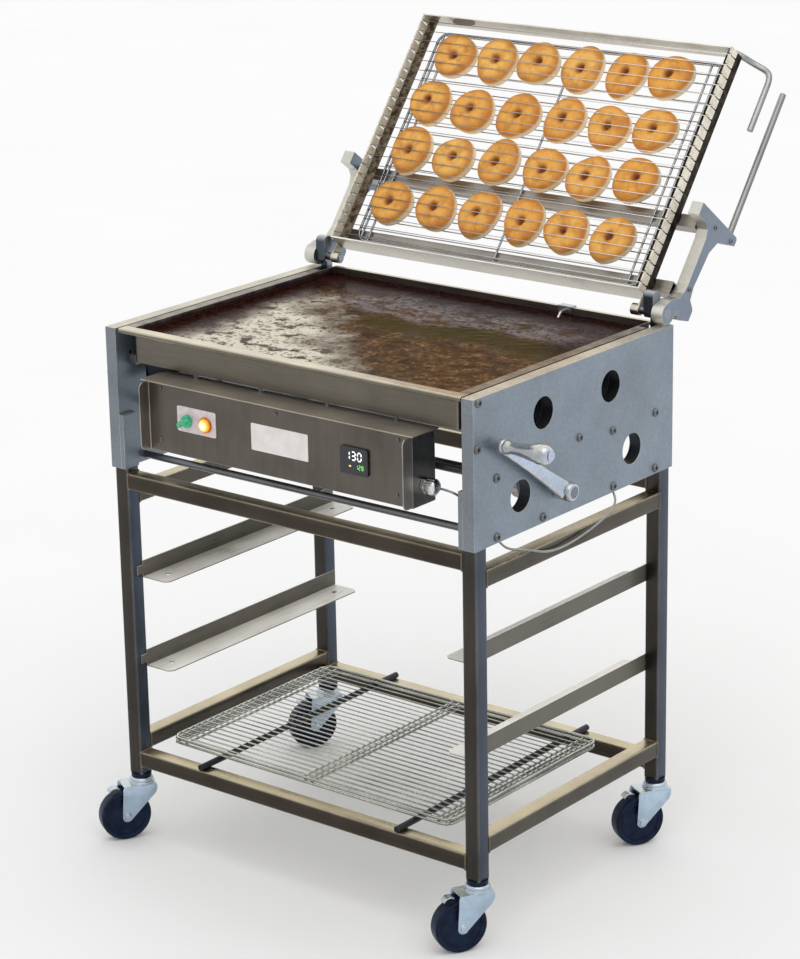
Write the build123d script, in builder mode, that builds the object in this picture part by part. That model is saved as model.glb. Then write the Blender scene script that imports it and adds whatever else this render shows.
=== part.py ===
from build123d import *
import math
import os

# Donut icing station. A wheeled tube stand carries two thick side plates. Between
# them hangs a shallow heated icing pan with its control box, raised by a side crank
# through two involute cams. A tilting cradle holds a screen of donuts, and a comb
# frame with hold-down wires closes over it on the same hinge line.
# Millimetres, +Z up, +Y to the rear. The origin is on the floor under the middle of
# the stand.

os.makedirs("parts", exist_ok=True)

# Fits shared by all pieces
FIT = 0.05                # running fit, on the radius
CLEAR = 0.3               # clearance between pieces that pass or nearly touch

# Stand
FRAME_W = 870.0           # over the legs, side to side
FRAME_D = 610.0           # over the legs, front to back
TUBE = 31.75              # square tube
TUBE_WALL = 1.6
CASTER_H = 136.0          # floor to the leg ends
LEG_H = 636.4
TOP_RAIL_DROP = 10.4      # leg top to the top of the front rail
SIDE_RAIL_STEP = 1.75     # front rail to the side rail below it
LOW_RAIL_RISE = 17.0      # leg end to the front bottom rail
BLOCK_T = 10.0            # seat block between leg top and side plate
BLOCK_W = 38.0
BLOCK_H = 107.0

# Side plates
PLATE_T = 25.4
PLATE_STEP = 2.0          # plate face outside the leg face
PLATE_OVER = 6.3          # plate past the legs, front and rear
PLATE_H = 278.0
HOLE_D = 60.0             # lightening holes
HIGH_HOLE_Y = 105.0
HIGH_HOLE_DROP = 71.4     # below the plate top
LOW_HOLE_Y = 174.5
LOW_HOLE_RISE = 69.6      # above the plate bottom
TIE_D = 14.0              # tie rods between the plates
TIE_IN = 68.3             # tie rods to the plates' ends
TIE_LOW_RISE = 12.6
TIE_HIGH_RISE = 119.6

# Runners and the shelf under them
RUNNER_T = 2.0
RUNNER_WEB = 34.5
RUNNER_FLANGE = 64.0
RUNNER_FRONT_IN = 29.0    # web end behind the front of the legs
RUNNER_REAR_IN = 5.0      # web end ahead of the rear of the legs
RUNNER_TAB = 16.0         # tab that runs on over the front leg
RUNNER_HIGH = 407.5       # flange above the leg ends
RUNNER_LOW = 223.0
RUNNER_HOLE_D = 12.0
RUNNER_HOLE_IN = 38.0     # hole to the flange end
RUNNER_CUT = 9.0          # cut corners of the flange
SHELF_ROD_D = 12.7
SHELF_ROD_IN = 159.25     # shelf rods to the side rails

# Hinge line of the cradle and the hold-down frame
HINGE_BACK = 19.3         # in front of the plates' rear edge
HINGE_RISE = 24.2         # above the plate tops
TILT = 52.5               # rest angle of the cradle over the horizontal
PIVOT_D = 16.0
POST_T = 21.6             # hinge post, side to side
POST_D = 25.0             # hinge post, front to back
POST_TOP = 41.4           # above the hinge line
POST_FOOT = 11.6          # below the hinge line
SHANK_T = 15.6
SHANK_H = 80.0
STOP_D = 10.0             # pin that the cradle leans on
STOP_S = 14.0             # stop pin along the cradle, from the hinge line
STOP_N = -26.0            # stop pin behind the hinge line

# Cradle: arms, cross bars and handle
ARM_GAP = 0.6             # arm inside face outside the plate's inside face
ARM_T = 24.8
BOSS_R = 20.0
STEM_FRONT = 28.0         # stem's front behind the hinge line
STEM_BACK = 48.0          # stem's rear behind the hinge line
JAW_BACK = 73.0           # end of the jaw below the stop pin
JAW_S = 46.0              # jaw's upper side, from the hinge line
HEAD_S = 198.0            # underside of the arm's head, from the hinge line
HEAD_T = 26.0
HEAD_BACK = 128.0         # head end behind the hinge line
BAR = 25.4                # square cross bars
BAR_WALL = 2.0
BAR_LOW_S = 59.5
BAR_HIGH_S = 198.5
ROD_D = 12.7              # cradle handle
ROD_L = 307.0
ROD_BACK = 116.0          # handle behind the hinge line

# Screens: one on the cradle, two spare on the shelf
SCREEN_IN = 27.0          # screen's ends inside the comb walls
SCREEN_EDGE_IN = 17.0     # screen's edges inside the ends of the hold-down frame
SCREEN_WIRE = 3.0
SCREEN_ROD = 6.0
SCREEN_GAPS = 23          # gaps between the wires across
SCREEN_CORNER = 18.0
SCREEN_FACE = -5.0        # face that the donuts lie on
SPARE_X = -26.0
SPARE_Y = -5.0

# Donuts
DONUT_D = 94.0
DONUT_HOLE = 22.0
DONUT_T = 32.0
DONUT_TAPER = 33.0
DONUT_IN = 32.0           # screen's ends to the outer donuts
DONUT_GAP = 10.0          # least room between the donuts of a row
DONUT_SIDES = 8
DONUT_FIRST = 78.5        # screen's lower edge to the lowest row
DONUT_STEPS = (123.5, 107.0, 111.0)

# Hold-down frame
LID_IN = 35.6             # comb walls inside the side plates
LID_T = 3.0
LID_S = 29.0              # lower end from the hinge line
LID_L = 518.0
LID_BACK = -10.0          # rear edge of the comb walls
LID_H = 43.0
LID_SKIRT = 13.0          # lower end wall reaches this much further back
STRIP_W = 24.0            # inner strip of the comb walls
STRIP_T = 2.0
SLOT_DEEP = 24.0
SLOT_PITCH = 22.2
SLOT_END = 12.0           # least room from the end slots to the frame's ends
SLOT_W = 3.6
HOLD_WIRE = 3.0
HOLD_N = 28.9             # hold-down wires over the hinge plane
HOLD_HOOK = 16.9          # hooked wire end down the wall's outside
KNUCKLE_R = 11.0
KNUCKLE_L = 18.0
TAB_W = 56.0              # latch tab on the upper end wall
TAB_IN = 108.0            # tab's middle from the left comb wall
TAB_H = 13.0
GRIP_D = 10.0             # bent handle of the hold-down frame
GRIP_OUT = 16.4           # grip outside the plate's inside face
GRIP_BACK = 48.0
GRIP_L = 138.0
GRIP_FOOT = 80.0
GRIP_BEND = 14.0

# Pan, icing and lift
PAN_IN = 25.6             # inside of the pan to the side plates
PAN_FRONT_IN = 26.3       # inside of the pan to the plates' front ends
PAN_REAR_IN = 5.3         # inside of the pan to the plates' rear ends
PAN_T = 2.0
PAN_DEPTH = 67.4          # rim to underside
PAN_CORNER = 6.0
RIM_SIDE = 21.0           # side flange
RIM_FRONT = 19.0          # front flange to the middle of its roll
RIM_REAR = 8.0
RIM_ROLL = 10.0
RIM_CUT = 27.0            # side flange ends this far ahead of the hinge line
ICING_DROP = 13.0         # rim to the icing
LIFT = 12.0               # the rim stays under the hinge knuckles
GUIDE_D = 8.0
GUIDE_IN = 39.3           # guide pins to the plates' ends
GUIDE_RISE = 2.0          # guide pins above the pan underside
GUIDE_BOSS = 18.0
GUIDE_DEEP = 12.0         # guide slots into the plates
HEATER_IN = 86.0          # heater inside the pan's sides
HEATER_IN_END = 70.5      # heater inside the pan's ends
HEATER_T = 6.0
LIFT_POST_IN = 38.0       # lift posts' inner faces inside the pan's sides
LIFT_POST_W = 16.0
LIFT_POST_D = 32.0        # front to back
LIFT_POST_FLARE = 24.0    # flare under the pan
SHAFT_D = 20.0
SHAFT_Y = -63.0
SHAFT_RISE = 53.0         # above the plates' bottom edge
SHAFT_CAP = 6.0
CAM_BASE = 4.0            # base circle of the involute: lift per radian of crank
CAM_LOW = 20.0            # follower height over the shaft, pan down
CAM_HUB_R = 17.0

# Crank
CRANK_R = 231.0
CRANK_ANGLE = 145.2       # arm, from straight back, turning up
CRANK_HUB_R = 20.0
CRANK_HUB_L = 38.0
CRANK_ARM_T = 13.0
CRANK_ARM_OFF = 13.0      # arm off the plate
CRANK_END_R = 14.0
SPINDLE_D = 10.0
CRANK_GRIP_L = 96.0
CRANK_GRIP_R = 9.0
CRANK_BULB_R = 14.5

# Control box
BOX_IN = 96.6             # box ends inside the side plates
BOX_H = 135.0
BOX_DEEP = 65.5
BOX_AHEAD = 18.2          # panel face ahead of the plates
BOX_DROP = 13.0           # pan underside to the top of the box
SHEET = 1.5
EAR = 26.0
EAR_ROUND = 12.0
COVER_OVER = 10.0
COVER_T = 2.0
STUD_D = 10.0
STUD_IN = 75.0            # outer studs inside the box ends
STUD_BACK = 12.0          # studs in front of the box's rear wall
LEGEND_W = 96.0
LEGEND_H = 49.0
LEGEND_IN = 121.0         # legend plate's middle from the left end
LEGEND_Z = -61.6          # below the top of the box
KNOB_IN = 99.0            # knob from the left end
LAMP_IN = 144.0
KNOB_Z = -64.0
KNOB_D = 24.0
KNOB_TURN = 35.0
LAMP_D = 24.0
PLATE_TRIM_T = 1.0
CONTROL_W = 64.0
CONTROL_H = 51.0
CONTROL_IN = 129.4        # controller's middle from the right end
CONTROL_Z = -68.8
CONTROL_T = 5.0
CONTROL_BODY = 40.0
GLAND_D = 20.0
GLAND_L = 32.0
GLAND_IN = 33.5           # gland behind the panel face
GLAND_Z = -99.0
TERMINAL_W = 120.0
TERMINAL_H = 34.0
TERMINAL_T = 24.0

# Probe and its lead
CLIP_W = 32.0
CLIP_FROM_SIDE = 195.0    # clip's middle from the pan's right side
CLIP_T = 2.0
CLIP_H = 27.0
FERRULE_D = 9.0
FERRULE_L = 16.0
FERRULE_BITE = 0.5        # ferrule let into the clip
PROBE_D = 6.0
LEAD_D = 4.5

# Casters
WHEEL_D = 102.0
WHEEL_W = 32.0
HUB_R = 18.0
HUB_SIDE = 2.0            # hub face outside the tread
TREAD_ROUND = 5.0
AXLE_D = 10.0
TRAIL = 38.0
CHEEK_END = 14.0          # cheek round the axle
TRAIL_TURN = 240.0        # direction of the trail, from +X turning to +Y
FORK_T = 3.0
FORK_GAP = 1.5            # hub face to fork cheek
RACE_R = 20.0
RACE_H = 12.0
STEM_D = 12.0
STEM_L = 44.0
SOCKET_L = 48.0
SOCKET_LIP = 8.0
PEDAL_L = 44.0
PEDAL_T = 4.0
PEDAL_W = 28.0
PEDAL_PIN = 5.0

# Places worked out from the sizes above
RAIL_X = FRAME_W / 2 - TUBE
RAIL_Y = FRAME_D / 2 - TUBE
LEG_X = FRAME_W / 2 - TUBE / 2
LEG_Y = FRAME_D / 2 - TUBE / 2
LEG_TOP = CASTER_H + LEG_H
FRONT_TOP_Z = LEG_TOP - TOP_RAIL_DROP - TUBE / 2
SIDE_TOP_Z = FRONT_TOP_Z - TUBE - SIDE_RAIL_STEP
FRONT_LOW_Z = CASTER_H + LOW_RAIL_RISE + TUBE / 2
SIDE_LOW_Z = FRONT_LOW_Z + TUBE
PLATE_OUT = FRAME_W / 2 + PLATE_STEP
PLATE_IN = PLATE_OUT - PLATE_T
PLATE_TOP = LEG_TOP + PLATE_H
PLATE_L = FRAME_D + 2 * PLATE_OVER
TIE_Y = PLATE_L / 2 - TIE_IN
RUNNER_FRONT = FRAME_D / 2 - RUNNER_FRONT_IN
RUNNER_REAR = FRAME_D / 2 - RUNNER_REAR_IN
SHELF_ROD_X = RAIL_X - SHELF_ROD_IN
HINGE_Y = PLATE_L / 2 - HINGE_BACK
HINGE_Z = PLATE_TOP + HINGE_RISE
COS_T = math.cos(math.radians(TILT))
SIN_T = math.sin(math.radians(TILT))
ARM_IN = PLATE_IN + ARM_GAP
LID_W = 2 * (PLATE_IN - LID_IN)
SCREEN_W = LID_W - 2 * SCREEN_IN
SCREEN_L = LID_L - 2 * SCREEN_EDGE_IN
SCREEN_S = LID_S + SCREEN_EDGE_IN
SCREEN_END_S = SCREEN_S + SCREEN_L
DONUT_COLS = int((SCREEN_W - 2 * DONUT_IN + DONUT_GAP) / (DONUT_D + DONUT_GAP))
DONUT_PITCH = (SCREEN_W - 2 * DONUT_IN - DONUT_D) / (DONUT_COLS - 1)
DONUT_ROWS = [SCREEN_S + DONUT_FIRST + sum(DONUT_STEPS[:step]) for step in range(len(DONUT_STEPS) + 1)]
TAB_X = TAB_IN - LID_W / 2
GRIP_X = PLATE_IN + GRIP_OUT
BAR_FACE = SCREEN_FACE - SCREEN_WIRE - SCREEN_ROD
FOOT_N = HINGE_RISE - 0.5
SHAFT_Z = LEG_TOP + SHAFT_RISE
PAN_Z = PLATE_TOP - PAN_DEPTH
PAN_W = 2 * (PLATE_IN - PAN_IN)
PAN_FRONT = PLATE_L / 2 - PAN_FRONT_IN
PAN_REAR = PLATE_L / 2 - PAN_REAR_IN
RIM_END = HINGE_Y - RIM_CUT
PAN_OUT = PAN_W / 2 + PAN_T
PAN_MID = (PAN_REAR - PAN_FRONT) / 2
PAN_LONG = PAN_REAR + PAN_FRONT
GUIDE_Z = PAN_Z + GUIDE_RISE
GUIDE_Y = PLATE_L / 2 - GUIDE_IN
LIFT_POST_X = PAN_OUT - LIFT_POST_IN
BOX_TOP = PAN_Z - BOX_DROP
BOX_W = 2 * (PLATE_IN - BOX_IN)
BOX_FRONT = PLATE_L / 2 + BOX_AHEAD
BOX_BACK = BOX_FRONT - BOX_DEEP
LEGEND_X = LEGEND_IN - BOX_W / 2
KNOB_X = KNOB_IN - BOX_W / 2
LAMP_X = LAMP_IN - BOX_W / 2
CONTROL_X = BOX_W / 2 - CONTROL_IN
GLAND_Y = GLAND_IN - BOX_FRONT
CLIP_X = PAN_W / 2 - CLIP_FROM_SIDE
ICING_Z = PLATE_TOP - ICING_DROP

# Planes of the tilted rack: in its face (across, up the slope, out of the face), and
# square to the hinge line (up the slope, out of the face).
rack = Plane(origin=(0, HINGE_Y, HINGE_Z), x_dir=(1, 0, 0), z_dir=(0, -SIN_T, COS_T))


def rack_side(x):
    """Plane square to the hinge line at x, with the slope along its own x axis."""
    return Plane(origin=(x, HINGE_Y, HINGE_Z), x_dir=(0, COS_T, SIN_T), z_dir=(1, 0, 0))


# Legs: four square tubes
with BuildPart() as legs:
    with BuildSketch(Plane.XY.offset(CASTER_H)):
        with GridLocations(2 * LEG_X, 2 * LEG_Y, 2, 2):
            Rectangle(TUBE, TUBE)
            Rectangle(TUBE - 2 * TUBE_WALL, TUBE - 2 * TUBE_WALL, mode=Mode.SUBTRACT)
    extrude(amount=LEG_H)
legs.part.label = "legs"
export_step(legs.part, "parts/legs.step")

# Rails between the legs, front and rear, top and bottom
with BuildPart() as cross_rails:
    with BuildSketch(Plane.YZ.offset(-RAIL_X)):
        with Locations((0, (FRONT_TOP_Z + FRONT_LOW_Z) / 2)):
            with GridLocations(2 * LEG_Y, FRONT_TOP_Z - FRONT_LOW_Z, 2, 2):
                Rectangle(TUBE, TUBE)
                Rectangle(TUBE - 2 * TUBE_WALL, TUBE - 2 * TUBE_WALL, mode=Mode.SUBTRACT)
    extrude(amount=2 * RAIL_X)
cross_rails.part.label = "cross_rails"
export_step(cross_rails.part, "parts/cross_rails.step")

# Rails between the legs along both sides, lower at the top and higher at the bottom
with BuildPart() as side_rails:
    with BuildSketch(Plane.XZ.offset(-RAIL_Y)):
        with Locations((0, (SIDE_TOP_Z + SIDE_LOW_Z) / 2)):
            with GridLocations(2 * LEG_X, SIDE_TOP_Z - SIDE_LOW_Z, 2, 2):
                Rectangle(TUBE, TUBE)
                Rectangle(TUBE - 2 * TUBE_WALL, TUBE - 2 * TUBE_WALL, mode=Mode.SUBTRACT)
    extrude(amount=2 * RAIL_Y)
side_rails.part.label = "side_rails"
export_step(side_rails.part, "parts/side_rails.step")

# Blocks on the leg tops, against the inside of the side plates
with BuildPart() as seat_blocks:
    with BuildSketch(Plane.XY.offset(LEG_TOP)):
        with GridLocations(2 * PLATE_IN - BLOCK_T, PLATE_L - BLOCK_W, 2, 2):
            Rectangle(BLOCK_T, BLOCK_W)
    extrude(amount=BLOCK_H)
seat_blocks.part.label = "seat_blocks"
export_step(seat_blocks.part, "parts/seat_blocks.step")

# Side plates: holed, with the shaft's bore and blind slots for the pan's guide pins
for plate_name, side in (("left_plate", -1), ("right_plate", 1)):
    with BuildPart() as side_plate:
        with BuildSketch(Plane.YZ.offset(side * PLATE_IN)):
            with Locations((0, LEG_TOP + PLATE_H / 2)):
                Rectangle(PLATE_L, PLATE_H)
            with Locations((0, PLATE_TOP - HIGH_HOLE_DROP)):
                with GridLocations(2 * HIGH_HOLE_Y, 0, 2, 1):
                    Circle(HOLE_D / 2, mode=Mode.SUBTRACT)
            with Locations((0, LEG_TOP + LOW_HOLE_RISE)):
                with GridLocations(2 * LOW_HOLE_Y, 0, 2, 1):
                    Circle(HOLE_D / 2, mode=Mode.SUBTRACT)
            with Locations((SHAFT_Y, SHAFT_Z)):
                Circle(SHAFT_D / 2 + FIT, mode=Mode.SUBTRACT)
        extrude(amount=side * PLATE_T)
        with BuildSketch(Plane.YZ.offset(side * PLATE_IN)):
            with Locations((-GUIDE_Y, GUIDE_Z + LIFT / 2), (GUIDE_Y, GUIDE_Z + LIFT / 2)):
                SlotCenterToCenter(LIFT, GUIDE_D + 2 * FIT, rotation=90)
        extrude(amount=side * GUIDE_DEEP, mode=Mode.SUBTRACT)
    side_plate.part.label = plate_name
    export_step(side_plate.part, f"parts/{plate_name}.step")

# Tie rods between the plates
with BuildPart() as tie_rods:
    with BuildSketch(Plane.YZ.offset(-PLATE_IN)):
        with Locations((0, LEG_TOP + (TIE_LOW_RISE + TIE_HIGH_RISE) / 2)):
            with GridLocations(2 * TIE_Y, TIE_HIGH_RISE - TIE_LOW_RISE, 2, 2):
                Circle(TIE_D / 2)
    extrude(amount=2 * PLATE_IN)
tie_rods.part.label = "tie_rods"
export_step(tie_rods.part, "parts/tie_rods.step")

# Runners: angles on the legs' inside faces, flange inward at the bottom, with a tab
# over the front leg and a hole near each end of the flange
RUNNER_EDGE = RAIL_X - RUNNER_FLANGE
with BuildPart() as runners:
    for side in (-1, 1):
        for flange_z in (CASTER_H + RUNNER_LOW, CASTER_H + RUNNER_HIGH):
            with BuildSketch(Plane.YZ.offset(side * (RAIL_X - RUNNER_T))):
                with Locations(((RUNNER_REAR - RUNNER_FRONT) / 2, flange_z + RUNNER_WEB / 2)):
                    Rectangle(RUNNER_REAR + RUNNER_FRONT, RUNNER_WEB)
                with Locations((-RUNNER_FRONT - RUNNER_TAB / 2, flange_z + RUNNER_WEB / 2)):
                    Rectangle(RUNNER_TAB, RUNNER_WEB / 2)
            extrude(amount=side * RUNNER_T)
            with BuildSketch(Plane.XY.offset(flange_z)):
                with BuildLine():
                    Polyline(
                        (side * RAIL_X, -RUNNER_FRONT), (side * RAIL_X, RUNNER_REAR),
                        (side * (RUNNER_EDGE + RUNNER_CUT), RUNNER_REAR),
                        (side * RUNNER_EDGE, RUNNER_REAR - RUNNER_CUT),
                        (side * RUNNER_EDGE, RUNNER_CUT - RUNNER_FRONT),
                        (side * (RUNNER_EDGE + RUNNER_CUT), -RUNNER_FRONT), close=True,
                    )
                make_face()
                with Locations((side * (RAIL_X - RUNNER_FLANGE / 2), RUNNER_HOLE_IN - RUNNER_FRONT)):
                    RegularPolygon(RUNNER_HOLE_D / 2, 8, mode=Mode.SUBTRACT)
                with Locations((side * (RAIL_X - RUNNER_FLANGE / 2), RUNNER_REAR - RUNNER_HOLE_IN)):
                    RegularPolygon(RUNNER_HOLE_D / 2, 8, mode=Mode.SUBTRACT)
            extrude(amount=RUNNER_T)
runners.part.label = "runners"
export_step(runners.part, "parts/runners.step")

# Shelf rods across the bottom rails
SHELF_TOP = FRONT_LOW_Z + TUBE / 2 + SHELF_ROD_D
with BuildPart() as shelf_rods:
    with BuildSketch(Plane.XZ.offset(-FRAME_D / 2)):
        with Locations((0, SHELF_TOP - SHELF_ROD_D / 2)):
            with GridLocations(2 * SHELF_ROD_X, 0, 2, 1):
                Circle(SHELF_ROD_D / 2)
    extrude(amount=FRAME_D)
shelf_rods.part.label = "shelf_rods"
export_step(shelf_rods.part, "parts/shelf_rods.step")

# Hinge posts: a lug with the pivot pin through it, a shank down the plate's inside and
# a stop pin behind the plate
STOP_Y = HINGE_Y + STOP_S * COS_T - STOP_N * SIN_T
STOP_Z = HINGE_Z + STOP_S * SIN_T + STOP_N * COS_T
SHANK_FRONT = HINGE_Y + POST_D / 2 - 10.0
SHANK_REAR = STOP_Y + STOP_D / 2 + 2.0
PIVOT_IN = LID_W / 2 - KNUCKLE_L - 2.0
for post_name, side in (("left_hinge_post", -1), ("right_hinge_post", 1)):
    with BuildPart() as hinge_post:
        with BuildSketch(Plane.YZ.offset(side * PLATE_IN)):
            with Locations((HINGE_Y, HINGE_Z + (POST_TOP - POST_FOOT) / 2)):
                RectangleRounded(POST_D, POST_TOP + POST_FOOT, POST_FOOT - 0.5)
        extrude(amount=-side * POST_T)
        with BuildSketch(Plane.YZ.offset(side * PLATE_IN)):
            with Locations(((SHANK_FRONT + PLATE_L / 2) / 2, HINGE_Z - SHANK_H / 2)):
                Rectangle(PLATE_L / 2 - SHANK_FRONT, SHANK_H)
            with Locations(((SHANK_FRONT + SHANK_REAR) / 2, STOP_Z)):
                Rectangle(SHANK_REAR - SHANK_FRONT, STOP_D + 6.0)
        extrude(amount=-side * SHANK_T)
        with BuildSketch(Plane.YZ.offset(side * PIVOT_IN)):
            with Locations((HINGE_Y, HINGE_Z)):
                Circle(PIVOT_D / 2)
        extrude(amount=side * (ARM_IN + ARM_T - PIVOT_IN))
        with BuildSketch(Plane.YZ.offset(side * PLATE_IN)):
            with Locations((STOP_Y, STOP_Z)):
                Circle(STOP_D / 2)
        extrude(amount=side * (ARM_GAP + ARM_T))
    hinge_post.part.label = post_name
    export_step(hinge_post.part, f"parts/{post_name}.step")

# Arms of the cradle: boss, waisted stem, cross head whose foot meets the plate when the
# cradle lies flat, and a jaw that leaves a slot for the stop pin
STOP_R = math.hypot(STOP_S, STOP_N)
STOP_ANGLE = math.degrees(math.atan2(STOP_N, STOP_S))
STOP_HALF = STOP_D / 2 + FIT
HEAD_TOP = HEAD_S + HEAD_T
SWEEP = 150.0
for arm_name, side in (("left_arm", -1), ("right_arm", 1)):
    with BuildPart() as arm:
        with BuildSketch(rack_side(side * ARM_IN)):
            with BuildLine():
                Polyline(
                    (0, 0), (BOSS_R * 0.7, BOSS_R * 0.7), (BOSS_R * 1.3, BOSS_R * 0.35),
                    (BOSS_R * 2.1, -STEM_FRONT * 0.6), (BOSS_R * 2.8, -STEM_FRONT * 0.85),
                    (BOSS_R * 3.8, -STEM_FRONT), (HEAD_S - HEAD_T, -STEM_FRONT),
                    (HEAD_S - HEAD_T / 3, -STEM_FRONT * 0.8), (HEAD_S, -STEM_FRONT / 3),
                    (HEAD_S, FOOT_N), (HEAD_TOP, FOOT_N), (HEAD_TOP, 4 - HEAD_BACK),
                    (HEAD_TOP - 4, -HEAD_BACK),
                    (HEAD_S + HEAD_T / 3, -HEAD_BACK), (HEAD_S - HEAD_T / 2, -HEAD_BACK * 0.55),
                    (HEAD_S - HEAD_T * 1.6, -STEM_BACK * 1.15), (JAW_S * 1.75, -STEM_BACK),
                    (JAW_S * 1.2, -STEM_BACK * 1.1), (JAW_S, -JAW_BACK + 4), (JAW_S - 4, -JAW_BACK),
                    (BOSS_R, -JAW_BACK), (BOSS_R * 0.3, -STEM_BACK * 0.8), close=True,
                )
            make_face()
            Circle(BOSS_R)
            with BuildLine():
                inner_arc = CenterArc((0, 0), STOP_R - STOP_HALF, STOP_ANGLE, -SWEEP)
                outer_arc = CenterArc((0, 0), STOP_R + STOP_HALF, STOP_ANGLE, -SWEEP)
                Line(inner_arc @ 0, outer_arc @ 0)
                Line(inner_arc @ 1, outer_arc @ 1)
            make_face(mode=Mode.SUBTRACT)
            with Locations((STOP_S, STOP_N)):
                Circle(STOP_HALF, mode=Mode.SUBTRACT)
            Circle(PIVOT_D / 2 + FIT, mode=Mode.SUBTRACT)
        extrude(amount=side * ARM_T)
    arm.part.label = arm_name
    export_step(arm.part, f"parts/{arm_name}.step")

# Cross bars between the arms
with BuildPart() as cross_bars:
    with BuildSketch(rack_side(-ARM_IN)):
        with Locations((BAR_LOW_S, BAR_FACE - BAR / 2), (BAR_HIGH_S, BAR_FACE - BAR / 2)):
            Rectangle(BAR, BAR)
            Rectangle(BAR - 2 * BAR_WALL, BAR - 2 * BAR_WALL, mode=Mode.SUBTRACT)
    extrude(amount=2 * ARM_IN)
cross_bars.part.label = "cross_bars"
export_step(cross_bars.part, "parts/cross_bars.step")

# Straight handle on the right arm's head
rod_plane = Plane(
    origin=rack.from_local_coords((ARM_IN + ARM_T / 2, HEAD_TOP, -ROD_BACK)),
    x_dir=(1, 0, 0), z_dir=(0, COS_T, SIN_T),
)
with BuildPart() as rod_handle:
    with BuildSketch(rod_plane):
        Circle(ROD_D / 2)
    extrude(amount=ROD_L)
    chamfer(rod_handle.faces().sort_by(Axis((0, 0, 0), (0, COS_T, SIN_T)))[-1].edges(), ROD_D / 8)
rod_handle.part.label = "rod_handle"
export_step(rod_handle.part, "parts/rod_handle.step")

# Wire screens: close wires across on a few rods front to back, drawn in square section.
# The spare ones lie one on the other, the lower with its wires on the shelf rods.
GAP_PITCH = (SCREEN_L - SCREEN_WIRE) / round(SCREEN_GAPS)
SCREEN_STACK = SCREEN_WIRE + SCREEN_ROD
donut_screen_plane = Plane(
    origin=rack.from_local_coords((0, SCREEN_S + SCREEN_L / 2, SCREEN_FACE - SCREEN_STACK)),
    x_dir=(1, 0, 0), z_dir=(0, -SIN_T, COS_T),
)
spare_low_plane = Plane(origin=(SPARE_X, SPARE_Y, SHELF_TOP + FIT - SCREEN_ROD))
spare_high_plane = spare_low_plane.offset(SCREEN_STACK + FIT)
for screen_name, screen_plane in (
    ("donut_screen", donut_screen_plane),
    ("spare_screen_low", spare_low_plane),
    ("spare_screen_high", spare_high_plane),
):
    with BuildPart() as screen:
        with BuildSketch(screen_plane.offset(SCREEN_ROD)):
            RectangleRounded(SCREEN_W, SCREEN_L, SCREEN_CORNER)
            with GridLocations(0, GAP_PITCH, 1, round(SCREEN_GAPS) - 2):
                Rectangle(SCREEN_W - 2 * SCREEN_ROD, GAP_PITCH - SCREEN_WIRE, mode=Mode.SUBTRACT)
            with GridLocations(0, SCREEN_L - SCREEN_WIRE - GAP_PITCH, 1, 2):
                Rectangle(SCREEN_W - 2 * SCREEN_CORNER, GAP_PITCH - SCREEN_WIRE, mode=Mode.SUBTRACT)
        extrude(amount=SCREEN_WIRE)
        with BuildSketch(screen_plane):
            with GridLocations(SCREEN_W - SCREEN_ROD, 0, 2, 1):
                Rectangle(SCREEN_ROD, SCREEN_L - 2 * SCREEN_CORNER)
            Rectangle(SCREEN_ROD, SCREEN_L)
        extrude(amount=SCREEN_ROD)
    screen.part.label = screen_name
    export_step(screen.part, f"parts/{screen_name}.step")

# Donuts: rings that swell to the middle of their height, drawn with few sides, in as
# many rows and columns as the screen holds
donut_centres = [
    ((col - (DONUT_COLS - 1) / 2) * DONUT_PITCH, row)
    for row in DONUT_ROWS if row + DONUT_D / 2 < SCREEN_END_S
    for col in range(DONUT_COLS)
]
with BuildPart() as donuts:
    with BuildSketch(rack.offset(SCREEN_FACE + DONUT_T / 2)) as donut_rounds:
        with Locations(*donut_centres):
            RegularPolygon(DONUT_D / 2, DONUT_SIDES)
    extrude(amount=DONUT_T / 2, taper=DONUT_TAPER)
    extrude(donut_rounds.sketch, amount=DONUT_T / 2, dir=(0, SIN_T, -COS_T), taper=DONUT_TAPER)
    with BuildSketch(rack.offset(SCREEN_FACE)):
        with Locations(*donut_centres):
            RegularPolygon(DONUT_HOLE / 2, DONUT_SIDES)
    extrude(amount=DONUT_T, mode=Mode.SUBTRACT)
donuts.part.label = "donuts"
export_step(donuts.part, "parts/donuts.step")

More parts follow.
